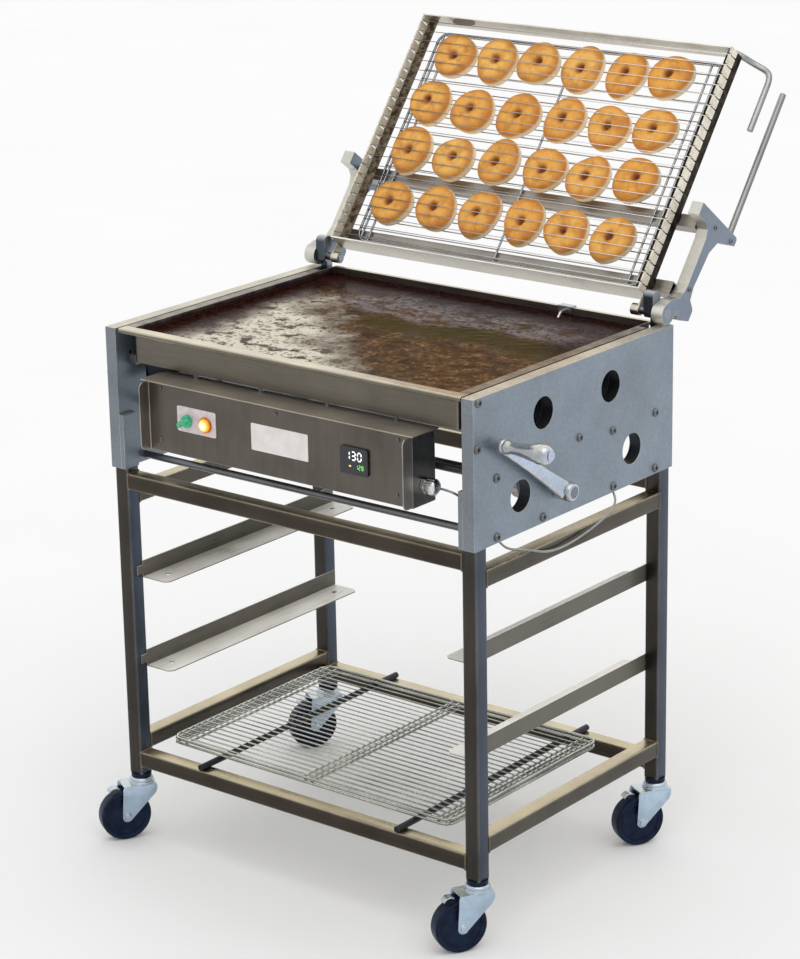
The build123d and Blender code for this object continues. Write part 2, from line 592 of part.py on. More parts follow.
# Comb walls of the hold-down frame: slotted web, inner strip, rest pads for the cross
# bars, and an ear with the knuckle that turns on the pivot pin
LID_TOP_S = LID_S + LID_L
LID_FRONT = LID_BACK + LID_H
SLOT_COUNT = int((LID_L - 2 * SLOT_END) / SLOT_PITCH) + 1
SLOT_S = LID_S + (LID_L - (SLOT_COUNT - 1) * SLOT_PITCH) / 2
STRIP_N = LID_FRONT - SLOT_DEEP - STRIP_T
for comb_name, side in (("left_comb", -1), ("right_comb", 1)):
    with BuildPart() as comb:
        with BuildSketch(rack_side(side * LID_W / 2)):
            with Locations((LID_S + LID_L / 2, LID_BACK + LID_H / 2)):
                Rectangle(LID_L, LID_H)
            with Locations((LID_S + LID_L / 2, LID_FRONT - SLOT_DEEP / 2)):
                with GridLocations(SLOT_PITCH, 0, SLOT_COUNT, 1):
                    Rectangle(SLOT_W, SLOT_DEEP, mode=Mode.SUBTRACT)
            with BuildLine():
                Polyline(
                    (0, KNUCKLE_R), (LID_S, STRIP_N), (LID_S + 14, STRIP_N), (LID_S + 14, LID_BACK),
                    (LID_S, LID_BACK), (0, -KNUCKLE_R), close=True,
                )
            make_face()
            Circle(KNUCKLE_R)
            for bar_s in (BAR_LOW_S, BAR_HIGH_S):
                with Locations((bar_s, (BAR_FACE + CLEAR + LID_BACK) / 2)):
                    Rectangle(BAR - 8, LID_BACK - BAR_FACE - CLEAR)
        extrude(amount=-side * LID_T)
        with BuildSketch(rack_side(side * LID_W / 2)):
            with Locations((LID_S + LID_L / 2, STRIP_N + STRIP_T / 2)):
                Rectangle(LID_L - 2 * LID_T, STRIP_T)
        extrude(amount=-side * STRIP_W)
        with BuildSketch(rack_side(side * LID_W / 2)):
            Circle(KNUCKLE_R)
        extrude(amount=-side * KNUCKLE_L)
        with BuildSketch(rack_side(side * LID_W / 2)):
            Circle(PIVOT_D / 2 + FIT)
        extrude(amount=-side * KNUCKLE_L, mode=Mode.SUBTRACT)
    comb.part.label = comb_name
    export_step(comb.part, f"parts/{comb_name}.step")

# End walls of the hold-down frame, with a latch tab on the upper one
with BuildPart() as lid_low_wall:
    with BuildSketch(rack.offset(LID_BACK - LID_SKIRT)):
        with Locations((0, LID_S + LID_T / 2)):
            Rectangle(LID_W - 2 * LID_T, LID_T)
    extrude(amount=LID_H + LID_SKIRT)
lid_low_wall.part.label = "lid_low_wall"
export_step(lid_low_wall.part, "parts/lid_low_wall.step")

with BuildPart() as lid_high_wall:
    with BuildSketch(rack.offset(LID_BACK)):
        with Locations((0, LID_TOP_S - LID_T / 2)):
            Rectangle(LID_W - 2 * LID_T, LID_T)
    extrude(amount=LID_H)
    with BuildSketch(rack.offset(LID_FRONT - LID_T)):
        with Locations((TAB_X, LID_TOP_S + TAB_H / 2)):
            Rectangle(TAB_W, TAB_H)
    extrude(amount=LID_T)
lid_high_wall.part.label = "lid_high_wall"
export_step(lid_high_wall.part, "parts/lid_high_wall.step")

# Hold-down wires, one to a slot, hooked over the outside of both comb walls
with BuildPart() as hold_down_wires:
    with BuildSketch(rack.offset(HOLD_N - HOLD_WIRE / 2)):
        with Locations((0, LID_S + LID_L / 2)):
            with GridLocations(0, SLOT_PITCH, 1, SLOT_COUNT):
                Rectangle(LID_W + 2 * HOLD_WIRE, HOLD_WIRE)
    extrude(amount=HOLD_WIRE)
    with BuildSketch(rack.offset(HOLD_N - HOLD_HOOK)):
        with Locations((0, LID_S + LID_L / 2)):
            with GridLocations(LID_W + HOLD_WIRE, SLOT_PITCH, 2, SLOT_COUNT):
                Rectangle(HOLD_WIRE, HOLD_WIRE)
    extrude(amount=HOLD_HOOK - HOLD_WIRE / 2)
hold_down_wires.part.label = "hold_down_wires"
export_step(hold_down_wires.part, "parts/hold_down_wires.step")

# Bent handle of the hold-down frame: along the upper wall, back over the pan's rim,
# out past the comb and down beside the right arm
GRIP_S = LID_TOP_S + GRIP_D / 2
GRIP_RISE_X = LID_W / 2 - LID_T
grip_points = [
    rack.from_local_coords(point)
    for point in (
        (GRIP_RISE_X - GRIP_FOOT, GRIP_S, 0), (GRIP_RISE_X, GRIP_S, 0), (GRIP_RISE_X, GRIP_S, -GRIP_BACK),
        (GRIP_X, GRIP_S, -GRIP_BACK), (GRIP_X, GRIP_S - GRIP_L, -GRIP_BACK),
    )
]
with BuildPart() as lid_handle:
    with BuildLine() as grip_path:
        FilletPolyline(*grip_points, radius=GRIP_BEND)
    with BuildSketch(Plane(origin=grip_points[0], z_dir=(1, 0, 0))):
        RegularPolygon(GRIP_D / 2, 8)
    sweep()
lid_handle.part.label = "lid_handle"
export_step(lid_handle.part, "parts/lid_handle.step")

# Icing pan: a rounded tray with a rolled front edge, flat side flanges that stop short
# of the hinge posts, and a rolled rear edge
with BuildPart() as pan:
    with BuildSketch(Plane.XY.offset(PAN_Z)):
        with Locations((0, PAN_MID)):
            RectangleRounded(2 * PAN_OUT, PAN_LONG + 2 * PAN_T, PAN_CORNER + PAN_T)
    extrude(amount=PAN_DEPTH)
    with BuildSketch(Plane.XY.offset(PLATE_TOP - PAN_T)):
        with Locations((0, (RIM_END - PAN_FRONT - RIM_FRONT) / 2)):
            Rectangle(PAN_W + 2 * RIM_SIDE, RIM_END + PAN_FRONT + RIM_FRONT)
        with Locations((0, PAN_REAR)):
            Rectangle(2 * PAN_OUT, 2 * RIM_REAR)
    extrude(amount=PAN_T)
    with BuildSketch(Plane.YZ.offset(-PAN_W / 2 - RIM_SIDE)):
        with Locations((-PAN_FRONT - RIM_FRONT, PLATE_TOP - RIM_ROLL / 2)):
            Circle(RIM_ROLL / 2)
    extrude(amount=PAN_W + 2 * RIM_SIDE)
    with BuildSketch(Plane.YZ.offset(-PAN_OUT)):
        with Locations((PAN_REAR + RIM_REAR, PLATE_TOP - RIM_ROLL / 2)):
            Circle(RIM_ROLL / 2)
    extrude(amount=2 * PAN_OUT)
    with BuildSketch(Plane.XY.offset(PAN_Z + PAN_T)):
        with Locations((0, PAN_MID)):
            RectangleRounded(PAN_W, PAN_LONG, PAN_CORNER)
    extrude(amount=PAN_DEPTH, mode=Mode.SUBTRACT)
pan.part.label = "pan"
export_step(pan.part, "parts/pan.step")

# Temperature probe: a clip saddled over the pan's rear edge, a ferrule behind it, and
# a bent probe that dips into the icing
CLIP_IN = PAN_REAR
CLIP_OUT = PAN_REAR + RIM_REAR + RIM_ROLL / 2
FERRULE_Y = CLIP_OUT + CLIP_T + FERRULE_D / 2
FERRULE_Z = PLATE_TOP + CLIP_T - CLIP_H
with BuildPart() as probe_clip:
    with BuildSketch(Plane.YZ.offset(CLIP_X - CLIP_W / 2)):
        with Locations(((CLIP_IN + CLIP_OUT) / 2, PLATE_TOP + CLIP_T / 2)):
            Rectangle(CLIP_OUT - CLIP_IN + 2 * CLIP_T, CLIP_T)
        with Locations((CLIP_IN - CLIP_T / 2, PLATE_TOP + CLIP_T - ICING_DROP / 2)):
            Rectangle(CLIP_T, ICING_DROP)
        with Locations((CLIP_OUT + CLIP_T / 2, PLATE_TOP + CLIP_T - CLIP_H / 2)):
            Rectangle(CLIP_T, CLIP_H)
    extrude(amount=CLIP_W)
    with BuildSketch(Plane.XY.offset(FERRULE_Z)):
        with Locations((CLIP_X, FERRULE_Y - FERRULE_BITE)):
            Circle(FERRULE_D / 2)
    extrude(amount=FERRULE_L)
probe_clip.part.label = "probe_clip"
export_step(probe_clip.part, "parts/probe_clip.step")

PROBE_Y = CLIP_IN - CLIP_T
probe_points = [
    (CLIP_X, PROBE_Y, PLATE_TOP - 6), (CLIP_X, PROBE_Y - 12, PLATE_TOP - 6),
    (CLIP_X + 3, PROBE_Y - 36, ICING_Z - 14),
]
with BuildPart() as probe:
    with BuildLine() as probe_path:
        FilletPolyline(*probe_points, radius=8)
    with BuildSketch(Plane(origin=probe_points[0], z_dir=(0, -1, 0))):
        RegularPolygon(PROBE_D / 2, 8)
    sweep()
probe.part.label = "probe"
export_step(probe.part, "parts/probe.step")

# Icing: fills the pan, parted around the probe
with BuildPart() as icing:
    with BuildSketch(Plane.XY.offset(PAN_Z + PAN_T)):
        with Locations((0, PAN_MID)):
            RectangleRounded(PAN_W, PAN_LONG, PAN_CORNER)
    extrude(amount=ICING_Z - PAN_Z - PAN_T)
    add(probe.part, mode=Mode.SUBTRACT)
icing.part.label = "icing"
export_step(icing.part, "parts/icing.step")

# Guide pins on the pan's sides, running in the plates' slots
with BuildPart() as guide_pins:
    for side in (-1, 1):
        with BuildSketch(Plane.YZ.offset(side * PAN_OUT)):
            with GridLocations(2 * GUIDE_Y, 0, 2, 1):
                with Locations((0, GUIDE_Z)):
                    Rectangle(GUIDE_BOSS, GUIDE_BOSS)
        extrude(amount=side * (PLATE_IN - PAN_OUT - 4.0))
        with BuildSketch(Plane.YZ.offset(side * PAN_OUT)):
            with GridLocations(2 * GUIDE_Y, 0, 2, 1):
                with Locations((0, GUIDE_Z)):
                    Circle(GUIDE_D / 2)
        extrude(amount=side * (PLATE_IN - PAN_OUT + GUIDE_DEEP - 2.0))
guide_pins.part.label = "guide_pins"
export_step(guide_pins.part, "parts/guide_pins.step")

# Heater under the pan
with BuildPart() as heater:
    with BuildSketch(Plane.XY.offset(PAN_Z - HEATER_T)):
        with Locations((0, PAN_MID)):
            Rectangle(PAN_W - 2 * HEATER_IN, PAN_LONG - 2 * HEATER_IN_END)
    extrude(amount=HEATER_T)
heater.part.label = "heater"
export_step(heater.part, "parts/heater.step")

# Lift posts under the pan: flat feet that ride on the cams
FOOT_Y = SHAFT_Y - CAM_BASE
FOOT_Z = SHAFT_Z + CAM_LOW + CLEAR
with BuildPart() as lift_posts:
    for side in (-1, 1):
        with BuildSketch(Plane.YZ.offset(side * LIFT_POST_X)):
            with BuildLine():
                Polyline(
                    (FOOT_Y - LIFT_POST_D / 2, FOOT_Z), (FOOT_Y + LIFT_POST_D / 2, FOOT_Z),
                    (FOOT_Y + LIFT_POST_D / 2, PAN_Z - LIFT_POST_FLARE),
                    (FOOT_Y + LIFT_POST_D / 2 + LIFT_POST_FLARE, PAN_Z),
                    (FOOT_Y - LIFT_POST_D / 2 - LIFT_POST_FLARE, PAN_Z),
                    (FOOT_Y - LIFT_POST_D / 2, PAN_Z - LIFT_POST_FLARE), close=True,
                )
            make_face()
        extrude(amount=side * LIFT_POST_W)
lift_posts.part.label = "lift_posts"
export_step(lift_posts.part, "parts/lift_posts.step")

# Crank shaft across both plates, capped outside the left one
with BuildPart() as crank_shaft:
    with BuildSketch(Plane.YZ.offset(-PLATE_OUT - CLEAR)):
        with Locations((SHAFT_Y, SHAFT_Z)):
            Circle(SHAFT_D / 2)
    extrude(amount=2 * PLATE_OUT + CLEAR + CRANK_HUB_L)
    with BuildSketch(Plane.YZ.offset(-PLATE_OUT - CLEAR)):
        with Locations((SHAFT_Y, SHAFT_Z)):
            Circle(SHAFT_D * 0.8)
    extrude(amount=-SHAFT_CAP)
crank_shaft.part.label = "crank_shaft"
export_step(crank_shaft.part, "parts/crank_shaft.step")

# Lift cams: an involute of the base circle lifts a flat foot evenly, by the base radius
# for each radian. The string of the involute points straight up where it meets the foot.
CAM_START = CAM_LOW / CAM_BASE
CAM_END = (CAM_LOW + LIFT) / CAM_BASE
CAM_SPIN = math.pi - CAM_START
CAM_STEPS = 24
cam_turns = [CAM_START - 0.2 + (CAM_END - CAM_START + 0.4) * i / CAM_STEPS for i in range(CAM_STEPS + 1)]
cam_points = [
    (
        CAM_BASE * (math.cos(t + CAM_SPIN) + t * math.sin(t + CAM_SPIN)),
        CAM_BASE * (math.sin(t + CAM_SPIN) - t * math.cos(t + CAM_SPIN)),
    )
    for t in cam_turns
]
with BuildPart() as lift_cams:
    for side in (-1, 1):
        cam_place = (side * LIFT_POST_X, SHAFT_Y, SHAFT_Z)
        with BuildSketch(Plane(origin=cam_place, x_dir=(0, 1, 0), z_dir=(1, 0, 0))):
            with BuildLine():
                Polyline(*cam_points, close=True)
            make_face()
            Circle(CAM_HUB_R)
            Circle(SHAFT_D / 2, mode=Mode.SUBTRACT)
        extrude(amount=side * LIFT_POST_W)
lift_cams.part.label = "lift_cams"
export_step(lift_cams.part, "parts/lift_cams.step")

# Crank arm: hub on the shaft, tapered arm and the spindle of the grip
ARM_X = PLATE_OUT + CRANK_ARM_OFF
crank_dir = (math.cos(math.radians(CRANK_ANGLE)), math.sin(math.radians(CRANK_ANGLE)))
crank_plane = Plane(
    origin=(ARM_X, SHAFT_Y, SHAFT_Z), x_dir=(0, crank_dir[0], crank_dir[1]), z_dir=(1, 0, 0)
)
SPINDLE_L = CRANK_GRIP_L + 2 * CLEAR
with BuildPart() as crank_arm:
    with BuildSketch(crank_plane):
        with BuildLine():
            Polyline(
                (0, CRANK_HUB_R * 0.9), (CRANK_R, CRANK_END_R), (CRANK_R, -CRANK_END_R),
                (0, -CRANK_HUB_R * 0.9), close=True,
            )
        make_face()
        with Locations((CRANK_R, 0)):
            Circle(CRANK_END_R)
    extrude(amount=CRANK_ARM_T)
    with BuildSketch(crank_plane.offset(CLEAR - CRANK_ARM_OFF)):
        Circle(CRANK_HUB_R)
    extrude(amount=CRANK_HUB_L - CLEAR)
    with BuildSketch(crank_plane.offset(-CRANK_ARM_OFF)):
        Circle(SHAFT_D / 2)
    extrude(amount=CRANK_HUB_L, mode=Mode.SUBTRACT)
    with BuildSketch(crank_plane.offset(CRANK_ARM_T)):
        with Locations((CRANK_R, 0)):
            Circle(SPINDLE_D / 2)
    extrude(amount=SPINDLE_L)
    with BuildSketch(crank_plane.offset(CRANK_ARM_T + SPINDLE_L)):
        with Locations((CRANK_R, 0)):
            Circle(SPINDLE_D * 0.8)
    extrude(amount=3)
crank_arm.part.label = "crank_arm"
export_step(crank_arm.part, "parts/crank_arm.step")

# Grip that turns on the spindle: slim at the arm, swelling to a bulb
grip_plane = Plane(
    origin=crank_plane.from_local_coords((CRANK_R, 0, CRANK_ARM_T + CLEAR)),
    x_dir=(1, 0, 0), z_dir=(0, -crank_dir[1], crank_dir[0]),
)
with BuildPart() as crank_grip:
    with BuildSketch(grip_plane):
        with BuildLine():
            Polyline(
                (0, SPINDLE_D / 2 + FIT), (CRANK_GRIP_L, SPINDLE_D / 2 + FIT),
                (CRANK_GRIP_L, CRANK_GRIP_R),
                (CRANK_GRIP_L * 0.84, CRANK_BULB_R),
                (CRANK_GRIP_L * 0.45, CRANK_GRIP_R + 1.5), (0, CRANK_GRIP_R), close=True,
            )
        make_face()
    revolve(axis=Axis(grip_plane.origin, (1, 0, 0)))
crank_grip.part.label = "crank_grip"
export_step(crank_grip.part, "parts/crank_grip.step")

# Control box: a folded shell open at the front and the top
with BuildPart() as box_shell:
    with BuildSketch(Plane.XY.offset(BOX_TOP - BOX_H)):
        with Locations((0, -BOX_BACK - (BOX_DEEP - SHEET) / 2)):
            Rectangle(BOX_W, BOX_DEEP - SHEET)
    extrude(amount=BOX_H)
    with BuildSketch(Plane.XY.offset(BOX_TOP - BOX_H + SHEET)):
        with Locations((0, -BOX_BACK - SHEET - (BOX_DEEP - SHEET) / 2)):
            Rectangle(BOX_W - 2 * SHEET, BOX_DEEP - SHEET)
    extrude(amount=BOX_H, mode=Mode.SUBTRACT)
box_shell.part.label = "box_shell"
export_step(box_shell.part, "parts/box_shell.step")

# Front panel with an ear bent forward at each end, cut for the controls
with BuildPart() as front_panel:
    with BuildSketch(Plane.XZ.offset(BOX_FRONT - SHEET)):
        with Locations((0, BOX_TOP - BOX_H / 2)):
            Rectangle(BOX_W, BOX_H)
        with Locations((KNOB_X, BOX_TOP + KNOB_Z)):
            Circle(KNOB_D / 6 + FIT, mode=Mode.SUBTRACT)
        with Locations((CONTROL_X, BOX_TOP + CONTROL_Z)):
            Rectangle(CONTROL_W - 6, CONTROL_H - 6, mode=Mode.SUBTRACT)
    extrude(amount=SHEET)
    for side in (-1, 1):
        with BuildSketch(Plane.YZ.offset(side * BOX_W / 2)):
            with Locations((-BOX_FRONT - EAR / 2 + SHEET / 2, BOX_TOP - BOX_H / 2)):
                Rectangle(EAR + SHEET, BOX_H - 4)
        extrude(amount=-side * SHEET)
    fillet(front_panel.edges().filter_by(Axis.X).group_by(Axis.Y)[0], EAR_ROUND)
front_panel.part.label = "front_panel"
export_step(front_panel.part, "parts/front_panel.step")

# Cover of the box, overhanging all round, and the studs that hang it from the pan
with BuildPart() as box_cover:
    with BuildSketch(Plane.XY.offset(BOX_TOP)):
        with Locations((0, -BOX_FRONT + BOX_DEEP / 2 - COVER_OVER / 2)):
            Rectangle(BOX_W + 2 * COVER_OVER, BOX_DEEP + COVER_OVER)
    extrude(amount=COVER_T)
box_cover.part.label = "box_cover"
export_step(box_cover.part, "parts/box_cover.step")

with BuildPart() as hanger_studs:
    with BuildSketch(Plane.XY.offset(BOX_TOP + COVER_T)):
        with Locations((0, -BOX_BACK - STUD_BACK)):
            with GridLocations((BOX_W - 2 * STUD_IN) / 3, 0, 4, 1):
                RegularPolygon(STUD_D / 2, 6)
    extrude(amount=BOX_DROP - COVER_T)
hanger_studs.part.label = "hanger_studs"
export_step(hanger_studs.part, "parts/hanger_studs.step")

# Legend plate with the lamp on it
with BuildPart() as legend_plate:
    with BuildSketch(Plane.XZ.offset(BOX_FRONT)):
        with Locations((LEGEND_X, BOX_TOP + LEGEND_Z)):
            Rectangle(LEGEND_W, LEGEND_H)
        with Locations((KNOB_X, BOX_TOP + KNOB_Z)):
            Circle(KNOB_D / 6 + FIT, mode=Mode.SUBTRACT)
    extrude(amount=PLATE_TRIM_T)
legend_plate.part.label = "legend_plate"
export_step(legend_plate.part, "parts/legend_plate.step")

with BuildPart() as lamp:
    with BuildSketch(Plane.XZ.offset(BOX_FRONT + PLATE_TRIM_T)):
        with Locations((LAMP_X, BOX_TOP + KNOB_Z)):
            Circle(LAMP_D / 2)
    extrude(amount=4)
    with BuildSketch(Plane.XZ.offset(BOX_FRONT + PLATE_TRIM_T + 4)):
        with Locations((LAMP_X, BOX_TOP + KNOB_Z)):
            Circle(LAMP_D / 2 - 1.5)
    extrude(amount=6)
lamp.part.label = "lamp"
export_step(lamp.part, "parts/lamp.step")

# Selector knob: a disc with a finger bar, on a spindle through the panel
with BuildPart() as selector_knob:
    with BuildSketch(Plane.XZ.offset(BOX_FRONT - SHEET - 6)):
        with Locations((KNOB_X, BOX_TOP + KNOB_Z)):
            Circle(KNOB_D / 6)
    extrude(amount=SHEET + 6 + PLATE_TRIM_T + CLEAR)
    with BuildSketch(Plane.XZ.offset(BOX_FRONT + PLATE_TRIM_T + CLEAR)):
        with Locations((KNOB_X, BOX_TOP + KNOB_Z)):
            Circle(KNOB_D / 2)
    extrude(amount=7)
    with BuildSketch(Plane.XZ.offset(BOX_FRONT + PLATE_TRIM_T + CLEAR + 7)):
        with Locations((KNOB_X, BOX_TOP + KNOB_Z)):
            Rectangle(KNOB_D + 6, KNOB_D / 3, rotation=KNOB_TURN)
    extrude(amount=11)
selector_knob.part.label = "selector_knob"
export_step(selector_knob.part, "parts/selector_knob.step")

# Temperature controller: a bezel on the panel and its body behind
with BuildPart() as controller:
    with BuildSketch(Plane.XZ.offset(BOX_FRONT)):
        with Locations((CONTROL_X, BOX_TOP + CONTROL_Z)):
            RectangleRounded(CONTROL_W, CONTROL_H, 5)
    extrude(amount=CONTROL_T)
    with BuildSketch(Plane.XZ.offset(BOX_FRONT)):
        with Locations((CONTROL_X, BOX_TOP + CONTROL_Z)):
            Rectangle(CONTROL_W - 6 - 2 * CLEAR, CONTROL_H - 6 - 2 * CLEAR)
    extrude(amount=-CONTROL_BODY)
controller.part.label = "controller"
export_step(controller.part, "parts/controller.step")

# Terminal block on the box's rear wall
with BuildPart() as terminal_block:
    with BuildSketch(Plane.XZ.offset(BOX_BACK + SHEET)):
        with Locations((-BOX_W / 6, BOX_TOP - BOX_H / 2)):
            Rectangle(TERMINAL_W, TERMINAL_H)
    extrude(amount=TERMINAL_T)
terminal_block.part.label = "terminal_block"
export_step(terminal_block.part, "parts/terminal_block.step")

# Gland on the box's right side: hex body and dome nut
with BuildPart() as gland:
    with BuildSketch(Plane.YZ.offset(BOX_W / 2)):
        with Locations((GLAND_Y, BOX_TOP + GLAND_Z)):
            RegularPolygon(GLAND_D * 0.6, 6)
    extrude(amount=GLAND_L / 3)
    with BuildSketch(Plane.YZ.offset(BOX_W / 2 + GLAND_L / 3)):
        with Locations((GLAND_Y, BOX_TOP + GLAND_Z)):
            Circle(GLAND_D / 2)
    extrude(amount=GLAND_L * 2 / 3)
gland.part.label = "gland"
export_step(gland.part, "parts/gland.step")

# Lead from the gland, out under the right plate in a hanging loop, in again and up
# behind the pan to the probe's ferrule
FERRULE_MID = FERRULE_Y - FERRULE_BITE
lead_points = [
    (BOX_W / 2 + GLAND_L, GLAND_Y, BOX_TOP + GLAND_Z),
    (BOX_W / 2 + GLAND_L + 23, GLAND_Y, BOX_TOP + GLAND_Z),
    (PLATE_IN - 25.6, GLAND_Y + 10, BOX_TOP - 109), (PLATE_IN - 16.6, GLAND_Y + 30, BOX_TOP - 132),
    (PLATE_IN - 11.6, GLAND_Y + 55, BOX_TOP - 157), (PLATE_IN - 7.6, GLAND_Y + 75, LEG_TOP + 11.6),
    (PLATE_IN - 5.6, GLAND_Y + 88, LEG_TOP - 15.4), (PLATE_IN + 2.4, GLAND_Y + 101, LEG_TOP - 34.4),
    (PLATE_OUT - 9, GLAND_Y + 114, LEG_TOP - 37.4), (PLATE_OUT + 3, GLAND_Y + 131, LEG_TOP - 41.4),
    (PLATE_OUT + 6, -138, LEG_TOP - 51.4), (PLATE_OUT + 6, -102, LEG_TOP - 58.4),
    (PLATE_OUT + 6, -58, LEG_TOP - 56.4), (PLATE_OUT + 6, -12, LEG_TOP - 51.4),
    (PLATE_OUT + 6, 34, LEG_TOP - 45.4), (PLATE_OUT + 3, 74, LEG_TOP - 39.4),
    (PLATE_OUT - 8, 105, LEG_TOP - 36.4), (PLATE_IN + 1.4, 130, LEG_TOP - 34.4),
    (PLATE_IN - 15.6, 153, LEG_TOP - 24.4), (CLIP_X + 179, FERRULE_MID - 142.5, FERRULE_Z - 253.4),
    (CLIP_X + 152, FERRULE_MID - 113.5, FERRULE_Z - 222.4),
    (CLIP_X + 128, FERRULE_MID - 84.5, FERRULE_Z - 191.4),
    (CLIP_X + 103, FERRULE_MID - 56.5, FERRULE_Z - 159.4),
    (CLIP_X + 77, FERRULE_MID - 30.5, FERRULE_Z - 124.4),
    (CLIP_X + 52, FERRULE_MID - 9.5, FERRULE_Z - 88.4), (CLIP_X + 31, FERRULE_MID - 0.5, FERRULE_Z - 59.4),
    (CLIP_X + 12, FERRULE_MID + 1.5, FERRULE_Z - 36.4),
    (CLIP_X, FERRULE_MID, FERRULE_Z - 18), (CLIP_X, FERRULE_MID, FERRULE_Z),
]
lead_vectors = [Vector(*point) for point in lead_points]
lead_runs = [b - a for a, b in zip(lead_vectors, lead_vectors[1:])]
lead_radii = [
    0.45 * min(a.length, b.length) / math.tan(math.radians(a.get_angle(b)) / 2)
    for a, b in zip(lead_runs, lead_runs[1:])
]
with BuildPart() as probe_lead:
    with BuildLine() as lead_path:
        FilletPolyline(*lead_points, radius=lead_radii)
    with BuildSketch(Plane(origin=lead_points[0], z_dir=lead_vectors[1] - lead_vectors[0])):
        RegularPolygon(LEAD_D / 2, 6)
    sweep()
probe_lead.part.label = "probe_lead"
export_step(probe_lead.part, "parts/probe_lead.step")

# Casters: socket in the leg end, then for each leg a swivelling fork with its stem and
# axle, a wheel and a brake pedal
with BuildPart() as caster_sockets:
    with BuildSketch(Plane.XY.offset(CASTER_H)):
        with GridLocations(2 * LEG_X, 2 * LEG_Y, 2, 2):
            Rectangle(TUBE - 2 * TUBE_WALL, TUBE - 2 * TUBE_WALL)
    extrude(amount=SOCKET_L)
    with BuildSketch(Plane.XY.offset(CASTER_H - SOCKET_LIP)):
        with GridLocations(2 * LEG_X, 2 * LEG_Y, 2, 2):
            Circle(RACE_R)
    extrude(amount=SOCKET_LIP)
    with BuildSketch(Plane.XY.offset(CASTER_H - SOCKET_LIP)):
        with GridLocations(2 * LEG_X, 2 * LEG_Y, 2, 2):
            Circle(STEM_D / 2 + FIT)
    extrude(amount=SOCKET_LIP + STEM_L + 2, mode=Mode.SUBTRACT)
caster_sockets.part.label = "caster_sockets"
export_step(caster_sockets.part, "parts/caster_sockets.step")

